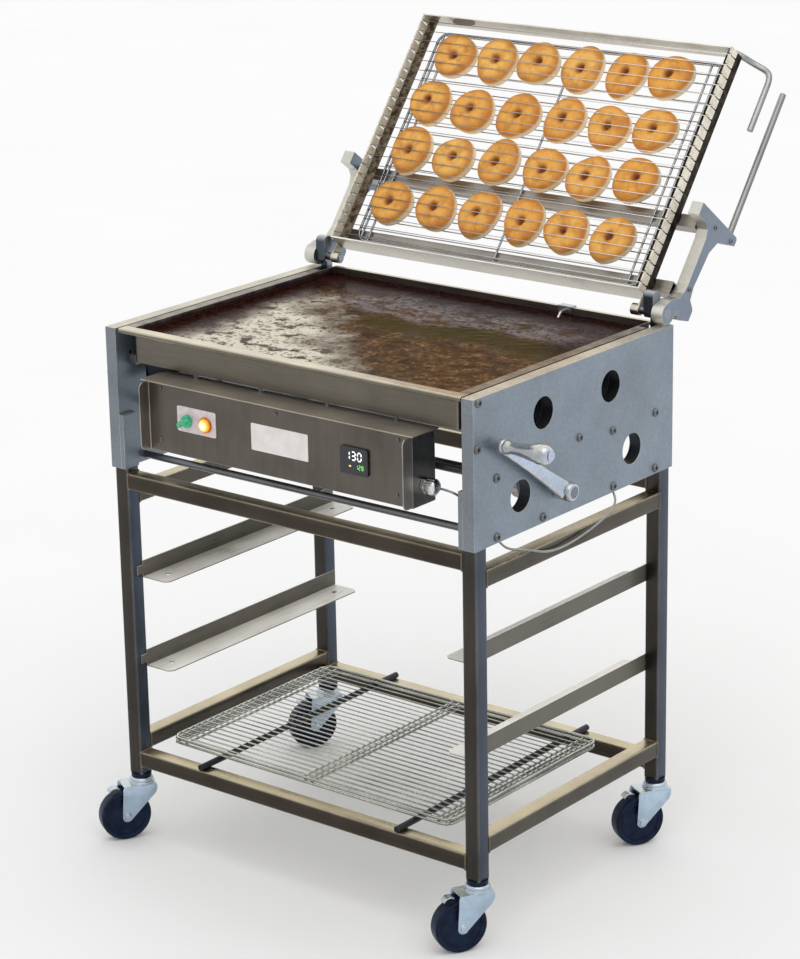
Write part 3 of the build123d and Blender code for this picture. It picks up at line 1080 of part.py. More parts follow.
RACE_TOP = CASTER_H - SOCKET_LIP - CLEAR
CROWN_TOP = RACE_TOP - RACE_H
CROWN_Z = CROWN_TOP - FORK_T
CHEEK = WHEEL_W / 2 + HUB_SIDE + FORK_GAP
AXLE_Z = WHEEL_D / 2
PEDAL_X = TRAIL + 26.0
PEDAL_Z = CROWN_Z - 4.0
trail_dir = (math.cos(math.radians(TRAIL_TURN)), math.sin(math.radians(TRAIL_TURN)), 0)
for corner, leg_x, leg_y in (
    ("front_left", -LEG_X, -LEG_Y),
    ("front_right", LEG_X, -LEG_Y),
    ("rear_left", -LEG_X, LEG_Y),
    ("rear_right", LEG_X, LEG_Y),
):
    swivel = Plane(origin=(leg_x, leg_y, 0), x_dir=trail_dir, z_dir=(0, 0, 1))
    cheek_plane = Plane(origin=(leg_x, leg_y, 0), x_dir=trail_dir, z_dir=-swivel.y_dir)

    with BuildPart() as fork:
        with BuildSketch(swivel.offset(CROWN_TOP)):
            Circle(RACE_R)
        extrude(amount=RACE_H)
        with BuildSketch(swivel.offset(RACE_TOP)):
            Circle(STEM_D / 2)
        extrude(amount=SOCKET_LIP + CLEAR + STEM_L)
        with BuildSketch(swivel.offset(CROWN_Z)):
            with Locations((TRAIL / 2 - 4, 0)):
                Rectangle(TRAIL + 34, 2 * (CHEEK + FORK_T))
        extrude(amount=FORK_T)
        for cheek_side in (-1, 1):
            with BuildSketch(cheek_plane.offset(cheek_side * CHEEK)):
                with BuildLine():
                    Polyline(
                        (-TRAIL / 2 - 2, CROWN_TOP), (TRAIL - CHEEK_END, AXLE_Z - CHEEK_END / 3),
                        (TRAIL - CHEEK_END * 0.7, AXLE_Z - CHEEK_END * 0.8), (TRAIL, AXLE_Z - CHEEK_END),
                        (TRAIL + CHEEK_END * 0.7, AXLE_Z - CHEEK_END * 0.8), (TRAIL + CHEEK_END, AXLE_Z),
                        (PEDAL_X + 7, PEDAL_Z - 6), (PEDAL_X + 7, CROWN_TOP), close=True,
                    )
                make_face()
            extrude(amount=cheek_side * FORK_T)
        with BuildSketch(cheek_plane.offset(-CHEEK - FORK_T)):
            with Locations((TRAIL, AXLE_Z)):
                Circle(AXLE_D / 2)
            with Locations((PEDAL_X, PEDAL_Z)):
                Circle(PEDAL_PIN / 2)
        extrude(amount=2 * (CHEEK + FORK_T))
        for cheek_side in (-1, 1):
            with BuildSketch(cheek_plane.offset(cheek_side * (CHEEK + FORK_T))):
                with Locations((TRAIL, AXLE_Z)):
                    RegularPolygon(AXLE_D * 0.85, 6)
            extrude(amount=cheek_side * 5)
    fork.part.label = f"{corner}_fork"
    export_step(fork.part, f"parts/{corner}_fork.step")

    with BuildPart() as wheel:
        with BuildSketch(Plane(origin=swivel.from_local_coords((TRAIL, 0, AXLE_Z)), x_dir=swivel.y_dir,
                               z_dir=trail_dir)):
            with BuildLine():
                Polyline(
                    (-WHEEL_W / 2 - HUB_SIDE, AXLE_D / 2 + FIT),
                    (WHEEL_W / 2 + HUB_SIDE, AXLE_D / 2 + FIT),
                    (WHEEL_W / 2 + HUB_SIDE, HUB_R), (WHEEL_W / 2, WHEEL_D / 2 - TREAD_ROUND),
                    (WHEEL_W / 2 - TREAD_ROUND, WHEEL_D / 2), (TREAD_ROUND - WHEEL_W / 2, WHEEL_D / 2),
                    (-WHEEL_W / 2, WHEEL_D / 2 - TREAD_ROUND), (-WHEEL_W / 2 - HUB_SIDE, HUB_R),
                    close=True,
                )
            make_face()
        revolve(axis=Axis(swivel.from_local_coords((TRAIL, 0, AXLE_Z)), swivel.y_dir))
    wheel.part.label = f"{corner}_wheel"
    export_step(wheel.part, f"parts/{corner}_wheel.step")

    with BuildPart() as pedal:
        with BuildSketch(cheek_plane.offset(-PEDAL_W / 2)):
            with Locations((PEDAL_X, PEDAL_Z)):
                Circle(PEDAL_PIN)
            with BuildLine():
                Polyline(
                    (PEDAL_X, PEDAL_Z + PEDAL_PIN), (PEDAL_X + PEDAL_L, PEDAL_Z + PEDAL_PIN - 2),
                    (PEDAL_X + PEDAL_L, PEDAL_Z + PEDAL_PIN - 2 - PEDAL_T), (PEDAL_X + 12, PEDAL_Z),
                    (PEDAL_X + 8, PEDAL_Z - 8.4), (PEDAL_X, PEDAL_Z - PEDAL_PIN), close=True,
                )
            make_face()
            with Locations((PEDAL_X, PEDAL_Z)):
                Circle(PEDAL_PIN / 2 + FIT, mode=Mode.SUBTRACT)
        extrude(amount=PEDAL_W)
    pedal.part.label = f"{corner}_brake"
    export_step(pedal.part, f"parts/{corner}_brake.step")
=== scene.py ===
import bmesh
import bpy
import numpy as np
from mathutils import Matrix


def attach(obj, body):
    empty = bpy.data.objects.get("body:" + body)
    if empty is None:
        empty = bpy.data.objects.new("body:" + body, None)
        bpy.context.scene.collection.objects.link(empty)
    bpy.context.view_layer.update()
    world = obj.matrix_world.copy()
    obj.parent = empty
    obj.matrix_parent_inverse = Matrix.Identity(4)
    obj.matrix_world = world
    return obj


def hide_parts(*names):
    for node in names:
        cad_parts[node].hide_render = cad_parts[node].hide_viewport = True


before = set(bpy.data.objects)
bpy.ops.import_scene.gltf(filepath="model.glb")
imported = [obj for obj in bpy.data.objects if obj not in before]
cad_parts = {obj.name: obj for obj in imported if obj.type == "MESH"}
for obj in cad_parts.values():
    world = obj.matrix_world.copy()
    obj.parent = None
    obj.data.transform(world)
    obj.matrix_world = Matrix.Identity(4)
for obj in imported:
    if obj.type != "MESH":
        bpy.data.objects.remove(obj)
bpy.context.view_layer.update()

# Legs and rails of the stand: square stainless tube with a 1.6 mm wall, cut to length
# and welded into a frame. The tube is brushed along its length, so each direction has
# its own finish. Its colours paint light and shade by face: pale tops as lit from above,
# dark brown fronts and slate sides as shade and reflections of the room.
RIGHT, REARWARD, UP = np.eye(3)
TUBE, TUBE_WALL, TUBE_ROUND = 31.75, 1.6, 3.2
LEG_X, LEG_Y = 419.125, 289.125
LEG_PLACES = np.array([(x, y) for x in (-LEG_X, LEG_X) for y in (-LEG_Y, LEG_Y)])
LEG_ENDS = np.array((136.0, 772.4))
CROSS_PLACES = np.array([(y, z) for y in (-LEG_Y, LEG_Y) for z in (168.875, 746.125)])
CROSS_HALF = 403.25
SIDE_PLACES = np.array([(x, z) for x in (-LEG_X, LEG_X) for z in (200.625, 712.625)])
SIDE_HALF = 273.25


def paint(code):
    """Linear colour of an sRGB code: c / 12.92 for dark channels, ((c + 0.055) / 1.055) ** 2.4 for the rest."""
    channels = np.array([int(code[i:i + 2], 16) for i in (0, 2, 4)]) / 255
    return (*np.where(channels > 0.04045, ((channels + 0.055) / 1.055) ** 2.4, channels / 12.92).tolist(), 1.0)


def feed(socket, value):
    """Links a socket to another node's output, or sets it where the value is a number or colour."""
    if isinstance(value, bpy.types.NodeSocket):
        socket.id_data.links.new(value, socket)
    else:
        socket.default_value = value


def reckon(operation, first, second=0.0):
    """One operation of arithmetic on a node's output and a second value."""
    step = first.id_data.nodes.new("ShaderNodeMath")
    step.operation = operation
    feed(step.inputs[0], first)
    feed(step.inputs[1], second)
    return step.outputs[0]


def times(first, second):
    """First multiplied by second."""
    return reckon("MULTIPLY", first, second)


def plus(first, second):
    """First added to second."""
    return reckon("ADD", first, second)


def arrow(operation, first, second=None):
    """One operation on a vector and a second vector or, for a scaling, a number."""
    step = first.id_data.nodes.new("ShaderNodeVectorMath")
    step.operation = operation
    feed(step.inputs[0], first)
    if second is not None:
        feed(step.inputs["Scale" if operation == "SCALE" else 1], second)
    return step.outputs["Value" if operation in ("DOT_PRODUCT", "LENGTH") else "Vector"]


def parts_of(vector):
    """The x, y and z of a vector."""
    step = vector.id_data.nodes.new("ShaderNodeSeparateXYZ")
    feed(step.inputs[0], vector)
    return step.outputs


def spread(value, low, high, to_low=0, to_high=1):
    """Maps low..high onto to_low..to_high in a straight line, held at both ends."""
    step = value.id_data.nodes.new("ShaderNodeMapRange")
    feed(step.inputs["Value"], value)
    for name, number in zip(("From Min", "From Max", "To Min", "To Max"), (low, high, to_low, to_high)):
        step.inputs[name].default_value = number
    return step.outputs["Result"]


def swing(noise, low, high):
    """Maps the usual span of a noise, 0.3..0.7, onto low..high."""
    return spread(noise, 0.3, 0.7, low, high)


def place_on(tree):
    """Object coordinates, in metres."""
    return tree.nodes.new("ShaderNodeTexCoord").outputs["Object"]


def speckle(tree, scale, stretch=(1, 1, 1), detail=3.0, ragged=0.5):
    """Noise on Object coordinates multiplied by stretch, scale to the metre; ragged is the share of fine detail."""
    mapping = tree.nodes.new("ShaderNodeMapping")
    mapping.inputs["Scale"].default_value = stretch
    feed(mapping.inputs["Vector"], place_on(tree))
    texture = tree.nodes.new("ShaderNodeTexNoise")
    for name, value in (("Scale", scale), ("Detail", detail), ("Roughness", ragged), ("Vector", mapping.outputs[0])):
        feed(texture.inputs[name], value)
    return texture.outputs["Fac"]


def tinge(factor, base, over):
    """Colour base going over to another by factor; each is a code or another node's output."""
    step = factor.id_data.nodes.new("ShaderNodeMix")
    step.data_type = "RGBA"
    for socket, value in zip((0, 6, 7), (factor, base, over)):
        feed(step.inputs[socket], paint(value) if isinstance(value, str) else value)
    return step.outputs[2]


def new_finish(name):
    """A material, its node tree and its shader."""
    material = bpy.data.materials.new(name)
    material.use_nodes = True
    return material, material.node_tree, material.node_tree.nodes["Principled BSDF"]


def roughen(shader, height, depth, round_edge=None):
    """Bump of the given height field, depth in metres, over the normal or over the rounded edges."""
    bump = shader.id_data.nodes.new("ShaderNodeBump")
    bump.inputs["Strength"].default_value = 1.0
    bump.inputs["Distance"].default_value = depth
    feed(bump.inputs["Height"], height)
    if round_edge is not None:
        feed(bump.inputs["Normal"], round_edge)
    feed(shader.inputs["Normal"], bump.outputs["Normal"])


def dress(shader, **values):
    """Feeds the shader's sockets by name, with _ for a blank."""
    for name, value in values.items():
        feed(shader.inputs[name.replace("_", " ")], value)


def metal_finish(name, side, front, top, rough, strokes=(1, 1, 1), fine=500.0, edge_wear_and_highlight="e4e0d8", lean=0.0,
                 cloud=0.18, stroke=0.10, edge=0.0009, metal=1.0):
    """Brushed metal: side, front and top colours weighted by the squares of the normal's x, y and z, after a lean
    about x, times the brush strokes and broad clouds; these three colours paint light and shade by the way a face
    looks. Edges, where the rounded normal leaves the flat one, are painted paler, partly as wear and partly as a
    painted highlight."""
    material, tree, shader = new_finish(name)
    facing = tree.nodes.new("ShaderNodeTexCoord").outputs["Normal"]
    if lean:
        turn = tree.nodes.new("ShaderNodeVectorRotate")
        turn.rotation_type = "X_AXIS"
        turn.inputs["Angle"].default_value = -np.radians(lean)
        feed(turn.inputs["Vector"], facing)
        facing = turn.outputs["Vector"]
    # Painted light and shade: the colour follows which way the face looks.
    _, endways, upwards = parts_of(arrow("MULTIPLY", facing, facing))
    colour = tinge(upwards, tinge(endways, side, front), top)
    drawn, clouded = speckle(tree, fine, strokes, 2.0), speckle(tree, 9.0, detail=4.0)
    shade = times(swing(drawn, 1 - stroke, 1 + stroke), swing(clouded, 1 - cloud, 1 + cloud))
    bevel = tree.nodes.new("ShaderNodeBevel")
    bevel.samples = 4
    bevel.inputs["Radius"].default_value = edge
    rounded, flat = bevel.outputs["Normal"], tree.nodes.new("ShaderNodeNewGeometry").outputs["Normal"]
    # Painted edge highlight, partly wear: paler where the rounded normal leaves the flat one.
    rubbed_and_lit_edge = times(spread(arrow("DOT_PRODUCT", rounded, flat), 0.80, 0.99, 0.75, 0.0),
                   spread(clouded, 0.35, 0.6, 0.4, 1.0))
    dress(shader, Base_Color=tinge(rubbed_and_lit_edge, arrow("SCALE", colour, shade), edge_wear_and_highlight), Metallic=metal,
          Roughness=plus(swing(clouded, rough - 0.07, rough + 0.07), swing(drawn, -0.05, 0.05)))
    roughen(shader, drawn, 0.00006, rounded)
    return material


def form(name, skins, finish, body, slot, *nodes):
    """Joins grids of points, in millimetres, into one mesh. Point (i, j) makes a face with (i, j + 1),
    (i + 1, j + 1) and (i + 1, j); on a ring the last column meets the first, on a loop the last row meets the
    first, and a capped grid closes each end row on its middle. A grid may hold many copies."""
    corners, faces, count = [], [], 0
    for grid, ring, ends in skins:
        grid = grid.reshape(-1, *grid.shape[-3:])
        if ends == "capped":
            first = np.broadcast_to(grid[:, :1].mean(axis=2, keepdims=True), grid[:, :1].shape)
            last = np.broadcast_to(grid[:, -1:].mean(axis=2, keepdims=True), grid[:, -1:].shape)
            grid = np.concatenate((first, grid, last), axis=1)
        copies, rows, columns, _ = grid.shape
        i, j = np.meshgrid(np.arange(rows - (ends != "looped")), np.arange(columns - (not ring)), indexing="ij")
        below, right = (i + 1) % rows, (j + 1) % columns
        quads = np.stack((i * columns + j, i * columns + right, below * columns + right, below * columns + j), -1)
        starts = count + np.arange(copies) * rows * columns
        corners.append(grid.reshape(-1, 3))
        faces.append((starts[:, None, None] + quads.reshape(-1, 4)).reshape(-1, 4))
        count += copies * rows * columns
    mesh = bpy.data.meshes.new(name)
    mesh.from_pydata((np.concatenate(corners) * 0.001).tolist(), [], np.concatenate(faces).tolist())
    shell = bmesh.new()
    shell.from_mesh(mesh)
    bmesh.ops.remove_doubles(shell, verts=shell.verts, dist=1e-6)
    bmesh.ops.recalc_face_normals(shell, faces=shell.faces)
    shell.to_mesh(mesh)
    shell.free()
    mesh.shade_smooth()
    mesh.set_sharp_from_angle(angle=np.radians(40))
    mesh.materials.append(finish)
    piece = bpy.data.objects.new(name, mesh)
    bpy.context.collection.objects.link(piece)
    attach(piece, body)
    if nodes:
        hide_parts(*nodes)
    return piece


def looped(*grids):
    """Grids of rings whose last ring meets the first."""
    return [(grid, True, "looped") for grid in grids]


def at(x, y, z):
    """Points from their x, y and z, each a number or an array, stretched to one shape."""
    return np.stack(np.broadcast_arrays(x, y, z), -1)


def rounded_outline(long, wide, corner, steps=5):
    """Rectangle whose corners are quarter circles: (half - corner) on each diagonal plus corner times the cosine and
    sine."""
    turn = np.radians(np.arange(4)[:, None] * 90 + np.linspace(0, 90, steps))
    circle = np.stack((np.cos(turn), np.sin(turn)), -1)
    middle = np.sign(circle.mean(axis=1, keepdims=True)) * (long / 2 - corner, wide / 2 - corner)
    return (middle + corner * circle).reshape(-1, 2)


def carry(path, outline, across, over):
    """Path that carries an outline: each path point plus the outline's first value across and its second over."""
    return path[..., None, :] + outline[..., :1] * across + outline[..., 1:] * over


tube_outside = rounded_outline(TUBE, TUBE, TUBE_ROUND)
tube_inside = rounded_outline(TUBE - 2 * TUBE_WALL, TUBE - 2 * TUBE_WALL, TUBE_ROUND - TUBE_WALL)
tube_rows = np.stack((tube_outside, tube_outside, tube_inside, tube_inside))
there_and_back = np.array((0, 1, 1, 0))
from_end_to_end = there_and_back * 2 - 1
leg_paths = at(LEG_PLACES[:, :1], LEG_PLACES[:, 1:], LEG_ENDS[there_and_back])
cross_paths = at(from_end_to_end * CROSS_HALF, CROSS_PLACES[:, :1], CROSS_PLACES[:, 1:])
side_paths = at(SIDE_PLACES[:, :1], from_end_to_end * SIDE_HALF, SIDE_PLACES[:, 1:])
leg_steel = metal_finish("leg_steel", "4a525e", "403d39", "a89c82", 0.34, (1, 1, 0.02), edge=0.0045)
cross_steel = metal_finish("cross_rail_steel", "5c6068", "413b35", "d8caa8", 0.32, (0.02, 1, 1), edge=0.0045)
side_steel = metal_finish("side_rail_steel", "56524c", "4f4a45", "d0c3a4", 0.32, (1, 0.02, 1), edge=0.0045)
form("leg_tubes", looped(carry(leg_paths, tube_rows, RIGHT, REARWARD)), leg_steel, "stand", "stand_tube", "legs")
form("cross_rail_tubes", looped(carry(cross_paths, tube_rows, REARWARD, UP)),
     cross_steel, "stand", "stand_tube", "cross_rails")
form("side_rail_tubes", looped(carry(side_paths, tube_rows, RIGHT, UP)),
     side_steel, "stand", "stand_tube", "side_rails")

# Welds: a rippled bead of filler round each rail end, ground nearly flush, brownish grey
# with its top painted pale straw as light from above.
BEAD, BEAD_PROUD = 1.7, 0.4
RIPPLES, RIPPLE_DEEP = 11, 0.2


def full_turn(count):
    """Angles of one turn in equal steps, without the last, which is the first again."""
    return np.linspace(0, 2 * np.pi, count, endpoint=False)


def unit(vectors):
    """Vectors divided by their lengths."""
    return vectors / np.linalg.norm(vectors, axis=-1, keepdims=True)


bead_ring = rounded_outline(TUBE + BEAD_PROUD, TUBE + BEAD_PROUD, TUBE_ROUND, 20)
bead_round = full_turn(8)


def weld_beads(middles, inward, across, over):
    """Ring of small circles round a square outline: each circle lies in the plane of inward and the outward
    direction, and its radius swings by a fifth with the ripple."""
    size = BEAD * (1 + RIPPLE_DEEP * np.sin(RIPPLES * full_turn(len(bead_ring))))[:, None]
    ring = bead_ring[:, None] + unit(bead_ring)[:, None] * (size * np.cos(bead_round))[..., None]
    depth = (size * np.sin(bead_round))[..., None] * inward[:, None, None, None, :]
    return middles[:, None, None, :] + ring[..., :1] * across + ring[..., 1:] * over + depth


cross_ends = cross_paths[:, :2].reshape(-1, 3)
side_ends = side_paths[:, :2].reshape(-1, 3)
cross_inward, side_inward = np.tile((RIGHT, -RIGHT), (4, 1)), np.tile((REARWARD, -REARWARD), (4, 1))
weld_tint = metal_finish("weld_bead", "6e675c", "6e6355", "b59f72", 0.42, fine=260.0)
form("weld_beads", looped(weld_beads(cross_ends, cross_inward, REARWARD, UP),
                          weld_beads(side_ends, side_inward, RIGHT, UP)), weld_tint, "stand", "stand_tube")


# Seat blocks, side plates and their tie rods: inch-thick aluminium plate with milled faces
# and bored holes, held by cap screws from outside. The bores are painted dark as shade.
def refinish(finish, *nodes):
    """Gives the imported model's own pieces this finish."""
    for node in nodes:
        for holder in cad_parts[node].material_slots:
            holder.material = finish


def reopen(finish):
    """A finish's node tree, its shader and the colour that it has so far."""
    shader = finish.node_tree.nodes["Principled BSDF"]
    return finish.node_tree, shader, shader.inputs["Base Color"].links[0].from_socket


def between(value, low, high):
    """One where a value lies between two others, and nought elsewhere."""
    return times(reckon("GREATER_THAN", value, low), reckon("LESS_THAN", value, high))


BORE_DEEP, BORE_Y, BORE_Z = (0.4122, 0.4362), 0.285, (0.79, 1.035)
plate_metal = metal_finish("milled_plate", "86919c", "7d838a", "d9d3c2", 0.44, fine=170.0, cloud=0.14, edge=0.0018,
                           metal=0.75)
tree, shader, milled = reopen(plate_metal)
x, y, z = parts_of(place_on(tree))
# Painted shade: the bores, found by their place in the plates, darkened nearly to black.
bore_shade = times(between(reckon("ABSOLUTE", x), *BORE_DEEP), reckon("LESS_THAN", reckon("ABSOLUTE", y), BORE_Y))
bore_shade = times(bore_shade, between(z, *BORE_Z))
dress(shader, Base_Color=tinge(times(bore_shade, 0.9), milled, "161c28"))
rod_steel = metal_finish("drawn_rod", "84868a", "74767a", "a2a3a6", 0.40, (0.03, 1, 1))
refinish(plate_metal, "left_plate", "right_plate", "seat_blocks", "lift_posts")
refinish(rod_steel, "tie_rods", "crank_shaft", "guide_pins", "hanger_studs")

PLATE_FACE, PLATE_HEAD = 437.0, (8.2, 4.6)
PLATE_SCREWS = np.array((
    (-245.3, 784), (252.7, 784), (-245.3, 893), (252.7, 893), (-107.3, 784), (114.7, 784),
    (-113.3, 892), (112.7, 892), (6.7, 905), (-296.3, 1042), (-301.3, 959),
))
HEAD_ROWS = np.array(((0.35, 0.40), (0.94, 0.40), (1.0, 0.50), (0.92, 0.74), (0.68, 0.92), (0.3, 1.0), (0.0, 1.0)))
SOCKET_ROWS, SOCKET_SWELL = 2, 1.15


def capped(*grids):
    """Grids of rings whose two end rings are closed."""
    return [(grid, True, "capped") for grid in grids]


def hexagon(turn):
    """Reach of a hexagon at each angle: cos 30 over cos(angle within its side - 30)."""
    return np.cos(np.pi / 6) / np.cos(turn % (np.pi / 3) - np.pi / 6)


def turned(base, axis, across, over, rows, columns=48, swell=1.0):
    """Rows of (distance, radius) turned about an axis: base plus the distance on the axis, plus the radius times
    swell on a spoke, which is the cosine on across and the sine on over."""
    rows, turn = np.asarray(rows, float), full_turn(columns)[:, None]
    spoke = np.cos(turn) * across + np.sin(turn) * over
    return base + rows[:, None, :1] * axis + (rows[:, 1:] * swell)[..., None] * spoke


def screw_heads(places, outward, across, over, radius, height):
    """Domed heads with a hexagon socket: rows of height and radius turned round the outward direction, where the
    radius of the socket's rows follows a hexagon."""
    inside = np.arange(len(HEAD_ROWS))[:, None] < SOCKET_ROWS
    swell = np.where(inside, SOCKET_SWELL * hexagon(full_turn(24)), 1.0)
    return turned(places[:, None, None], outward, across, over, HEAD_ROWS * (height, radius), 24, swell)


screw_metal = metal_finish("screw_heads", "6a717a", "706c68", "9a948a", 0.30, fine=300.0, edge=0.0004)
form("plate_screws", capped(*(
    screw_heads(at(side * PLATE_FACE, *PLATE_SCREWS.T), side * RIGHT, REARWARD, UP, *PLATE_HEAD)
    for side in (-1, 1))), screw_metal, "stand", "rod")

# Tray runners: folded stainless angles bolted between the legs, painted dark inside the fold
# as shade and near white on the ledge as light from above.
runner_sheet = metal_finish("runner_sheet", "5a574e", "8a8474", "fffdf4", 0.34, (1, 0.02, 1), metal=0.08)
refinish(runner_sheet, "runners")

# Shelf rods: two bars of black hot-rolled round, laid across the bottom rails to carry the
# spare screens. Their edges are painted grey, partly as rubbing from handling and partly as a highlight.
shelf_black = metal_finish("shelf_rod_black", "34363a", "2c2e32", "484a4e", 0.42, (1, 0.03, 1), 300.0, "8a8a88")
refinish(shelf_black, "shelf_rods")

# Spare screens: two wire grids lying on the shelf rods. Fine cross wires are welded to pairs
# of stouter rods and to a bent frame rod with round corners.
SCREEN_LONG, SCREEN_WIDE, SCREEN_BEND = 698.0, 484.0, 22.0
FRAME_ROD, CROSS_WIRE, SUPPORT = 5.6, 2.5, 5.0
EDGE_GAP, WIRE_SHORT, CORNER_SHORT, ROD_SHORT = 9.0, 2.0, 12.0, 3.0
ROD_SINK, FRAME_SINK = 0.3, 1.2
SPARE_RODS, SPARE_WIRES = np.array((-337.0, -316, -8, 8, 316, 337)), 27
SPARE_X, SPARE_Y = -26.0, -5.0


def round_bar(path, radius, up, sides=10):
    """Circle carried along a path: radius times the cosine on cross(tangent, up) and the sine on the third axis."""
    tangent = unit(np.gradient(path, axis=-2))
    across = unit(np.cross(tangent, up))
    over = np.cross(across, tangent)
    turn = full_turn(sides)[:, None]
    return path[..., None, :] + radius * (np.cos(turn) * across[..., None, :] + np.sin(turn) * over[..., None, :])


def straight_bars(starts, ends, radius, up, sides=8):
    """Round bars between pairs of points, with slightly rounded ends: two rows at each end, the outer ones drawn in
    to 0.6 of the radius."""
    along = unit(ends - starts)
    tuck = np.array((0, 0.4)) * radius
    path = np.concatenate((starts[:, None] + along[:, None] * tuck[None, :, None],
                           ends[:, None] - along[:, None] * tuck[None, ::-1, None]), 1)
    rows = round_bar(path, 1.0, up, sides) - path[..., None, :]
    return path[..., None, :] + rows * (radius * np.array((0.6, 1, 1, 0.6)))[:, None, None]


def looped_bar(line, radius, sides=10):
    """Circle carried round a flat closed line in the x, y plane: the tangent is half the step to both neighbours."""
    tangent = unit(np.roll(line, -1, axis=0) - np.roll(line, 1, axis=0))
    outward = np.c_[tangent[:, 1], -tangent[:, 0]]
    turn = full_turn(sides)
    flat = line[:, None] + radius * np.cos(turn)[None, :, None] * outward[:, None]
    return at(flat[..., 0], flat[..., 1], radius * np.sin(turn))


def wire_screen(wires, rods):
    """Grids of one screen about its middle, wires' top at z = 0: frame loop, cross wires along x and rods along y."""
    rows = np.linspace(-SCREEN_WIDE / 2 + EDGE_GAP, SCREEN_WIDE / 2 - EDGE_GAP, wires)
    in_corner = np.abs(rows) > SCREEN_WIDE / 2 - SCREEN_BEND
    half = SCREEN_LONG / 2 - np.where(in_corner, CORNER_SHORT, WIRE_SHORT)
    reach, under = SCREEN_WIDE / 2 - ROD_SHORT, ROD_SINK - CROSS_WIRE - SUPPORT / 2
    line = rounded_outline(SCREEN_LONG - FRAME_ROD, SCREEN_WIDE - FRAME_ROD, SCREEN_BEND, 9)
    edge = looped_bar(line, FRAME_ROD / 2) + UP * (FRAME_SINK - CROSS_WIRE - FRAME_ROD / 2)
    crossing = straight_bars(at(-half, rows, -CROSS_WIRE / 2), at(half, rows, -CROSS_WIRE / 2), CROSS_WIRE / 2, UP)
    bearing = straight_bars(at(rods, -reach, under), at(rods, reach, under), SUPPORT / 2, UP)
    return looped(edge) + capped(crossing, bearing)


bright_wire = metal_finish("plated_wire", "9a9d9b", "94968f", "dcdcd2", 0.22, fine=200.0, cloud=0.3, edge=0.0003)
for screen_name, body, node, top in (("spare_wires_low", "spare_low", "spare_screen_low", 200.5),
                                     ("spare_wires_high", "spare_high", "spare_screen_high", 209.55)):
    form(screen_name, [(grid + (SPARE_X, SPARE_Y, top), ring, ends)
                       for grid, ring, ends in wire_screen(SPARE_WIRES, SPARE_RODS)], bright_wire, body, "wire", node)

# Casters: a black socket in each leg, and a dark moulded wheel with a flat face, a raised
# ring and a rounded tread.
AXLE_WAY, TRAIL_WAY = np.array((0.8660254, -0.5, 0)), np.array((-0.5, -0.8660254, 0))
TRAIL, AXLE_Z = 38.0, 51.0
CORNERS = {"front_left": (-LEG_X, -LEG_Y), "front_right": (LEG_X, -LEG_Y),
           "rear_left": (-LEG_X, LEG_Y), "rear_right": (LEG_X, LEG_Y)}
WHEEL_PROFILE = np.array((
    (18, 5.2), (18, 11), (17.4, 14), (14.2, 16.5), (13.4, 19), (13.2, 36.0), (13.6, 37.4), (15.0, 38.2), (15.2, 39.6),
    (14.0, 40.6), (13.8, 41.6), (14.8, 43.4), (15.6, 45.6), (15.7, 47.6), (14.8, 49.4), (12.6, 50.6), (9.0, 51.0),
))


def mottled(name, base, over, scale, rough, stretch=(1, 1, 1), detail=3.0, band=(0.35, 0.65)):
    """Moulded or painted finish: one noise takes the colour from base to over within the band, and the roughness
    between its two values. Gives the material, its tree, its shader and the noise."""
    material, tree, shader = new_finish(name)
    grain = speckle(tree, scale, stretch, detail)
    dress(shader, Base_Color=tinge(spread(grain, *band), base, over), Roughness=swing(grain, *rough))
    return material, tree, shader, grain


wheel_rubber, tree, shader, _ = mottled("wheel_rubber", "0a1424", "12223e", 60.0, (0.26, 0.42), detail=5.0)
dress(shader, Specular_IOR_Level=0.14)
roughen(shader, speckle(tree, 420.0, detail=4.0), 0.00010)
refinish(wheel_rubber, "caster_sockets")
both_faces = np.concatenate((WHEEL_PROFILE, WHEEL_PROFILE[::-1] * (-1, 1)))
wheel_grid = turned(0.0, AXLE_WAY, TRAIL_WAY, UP, both_faces, columns=72)
axle_place = TRAIL * TRAIL_WAY + AXLE_Z * UP
for corner, leg in CORNERS.items():
    form(f"{corner}_tyre", looped(wheel_grid + axle_place + (*leg, 0.0)), wheel_rubber, f"{corner}_roller", "wheel",
         f"{corner}_wheel")

# Fork and brake of each caster: zinc-plated pressings. Two cheeks and a crown hang from the
# ball races and hold the axle bolt, and a short bent tab presses on the tread.
RACE_ROWS = ((113.0, 5.8), (113.0, 23.6), (114.4, 25.2), (117.0, 25.6), (119.0, 24.6), (119.8, 22.4), (120.8, 22.2),
             (121.6, 23.4), (124.0, 23.2), (126.4, 21.4), (127.5, 18.6), (127.5, 5.8))
CHEEK_FRONT = ((-23.0, 114.6), (-25.0, 110.0), (-24.5, 102.0), (-21.0, 94.0))
CHEEK_REAR = ((47.0, 76.0), (45.4, 100.0), (44.6, 110.0), (42.0, 114.6))
CHEEK_EYE, CHEEK_DEPTH, CHEEK_GROW = 10.5, np.array((19.6, 20.2, 22.4, 23.0)), (0.97, 1, 1, 0.97)
CROWN_LONG, CROWN_WIDE, CROWN_ROUND, CROWN_BACK, CROWN_LEVELS = 66.5, 45.6, 4.0, 9.25, np.array((112.9, 115.6))
BOLT_ROWS = ((18.2, 4.9), (23.0, 4.9), (23.0, 8.4), (23.8, 9.0), (24.6, 9.0), (25.0, 7.2), (28.0, 7.0), (28.8, 6.0),
             (29.0, 4.0))
TAB_LINE = np.array(((49.0, 107.0), (53.0, 109.4), (58.0, 110.0), (63.0, 108.8), (67.0, 106.0), (69.4, 102.4)))
TAB_EDGE = np.array(((-9, 0), (-8.2, 1.6), (8.2, 1.6), (9, 0), (8.2, -1.6), (-8.2, -1.6)))


def on_caster(along, aside, high):
    """Places on a caster: distances along the trail, along the axle and up, each times its own direction."""
    return at(along, aside, high) @ (TRAIL_WAY, AXLE_WAY, UP)


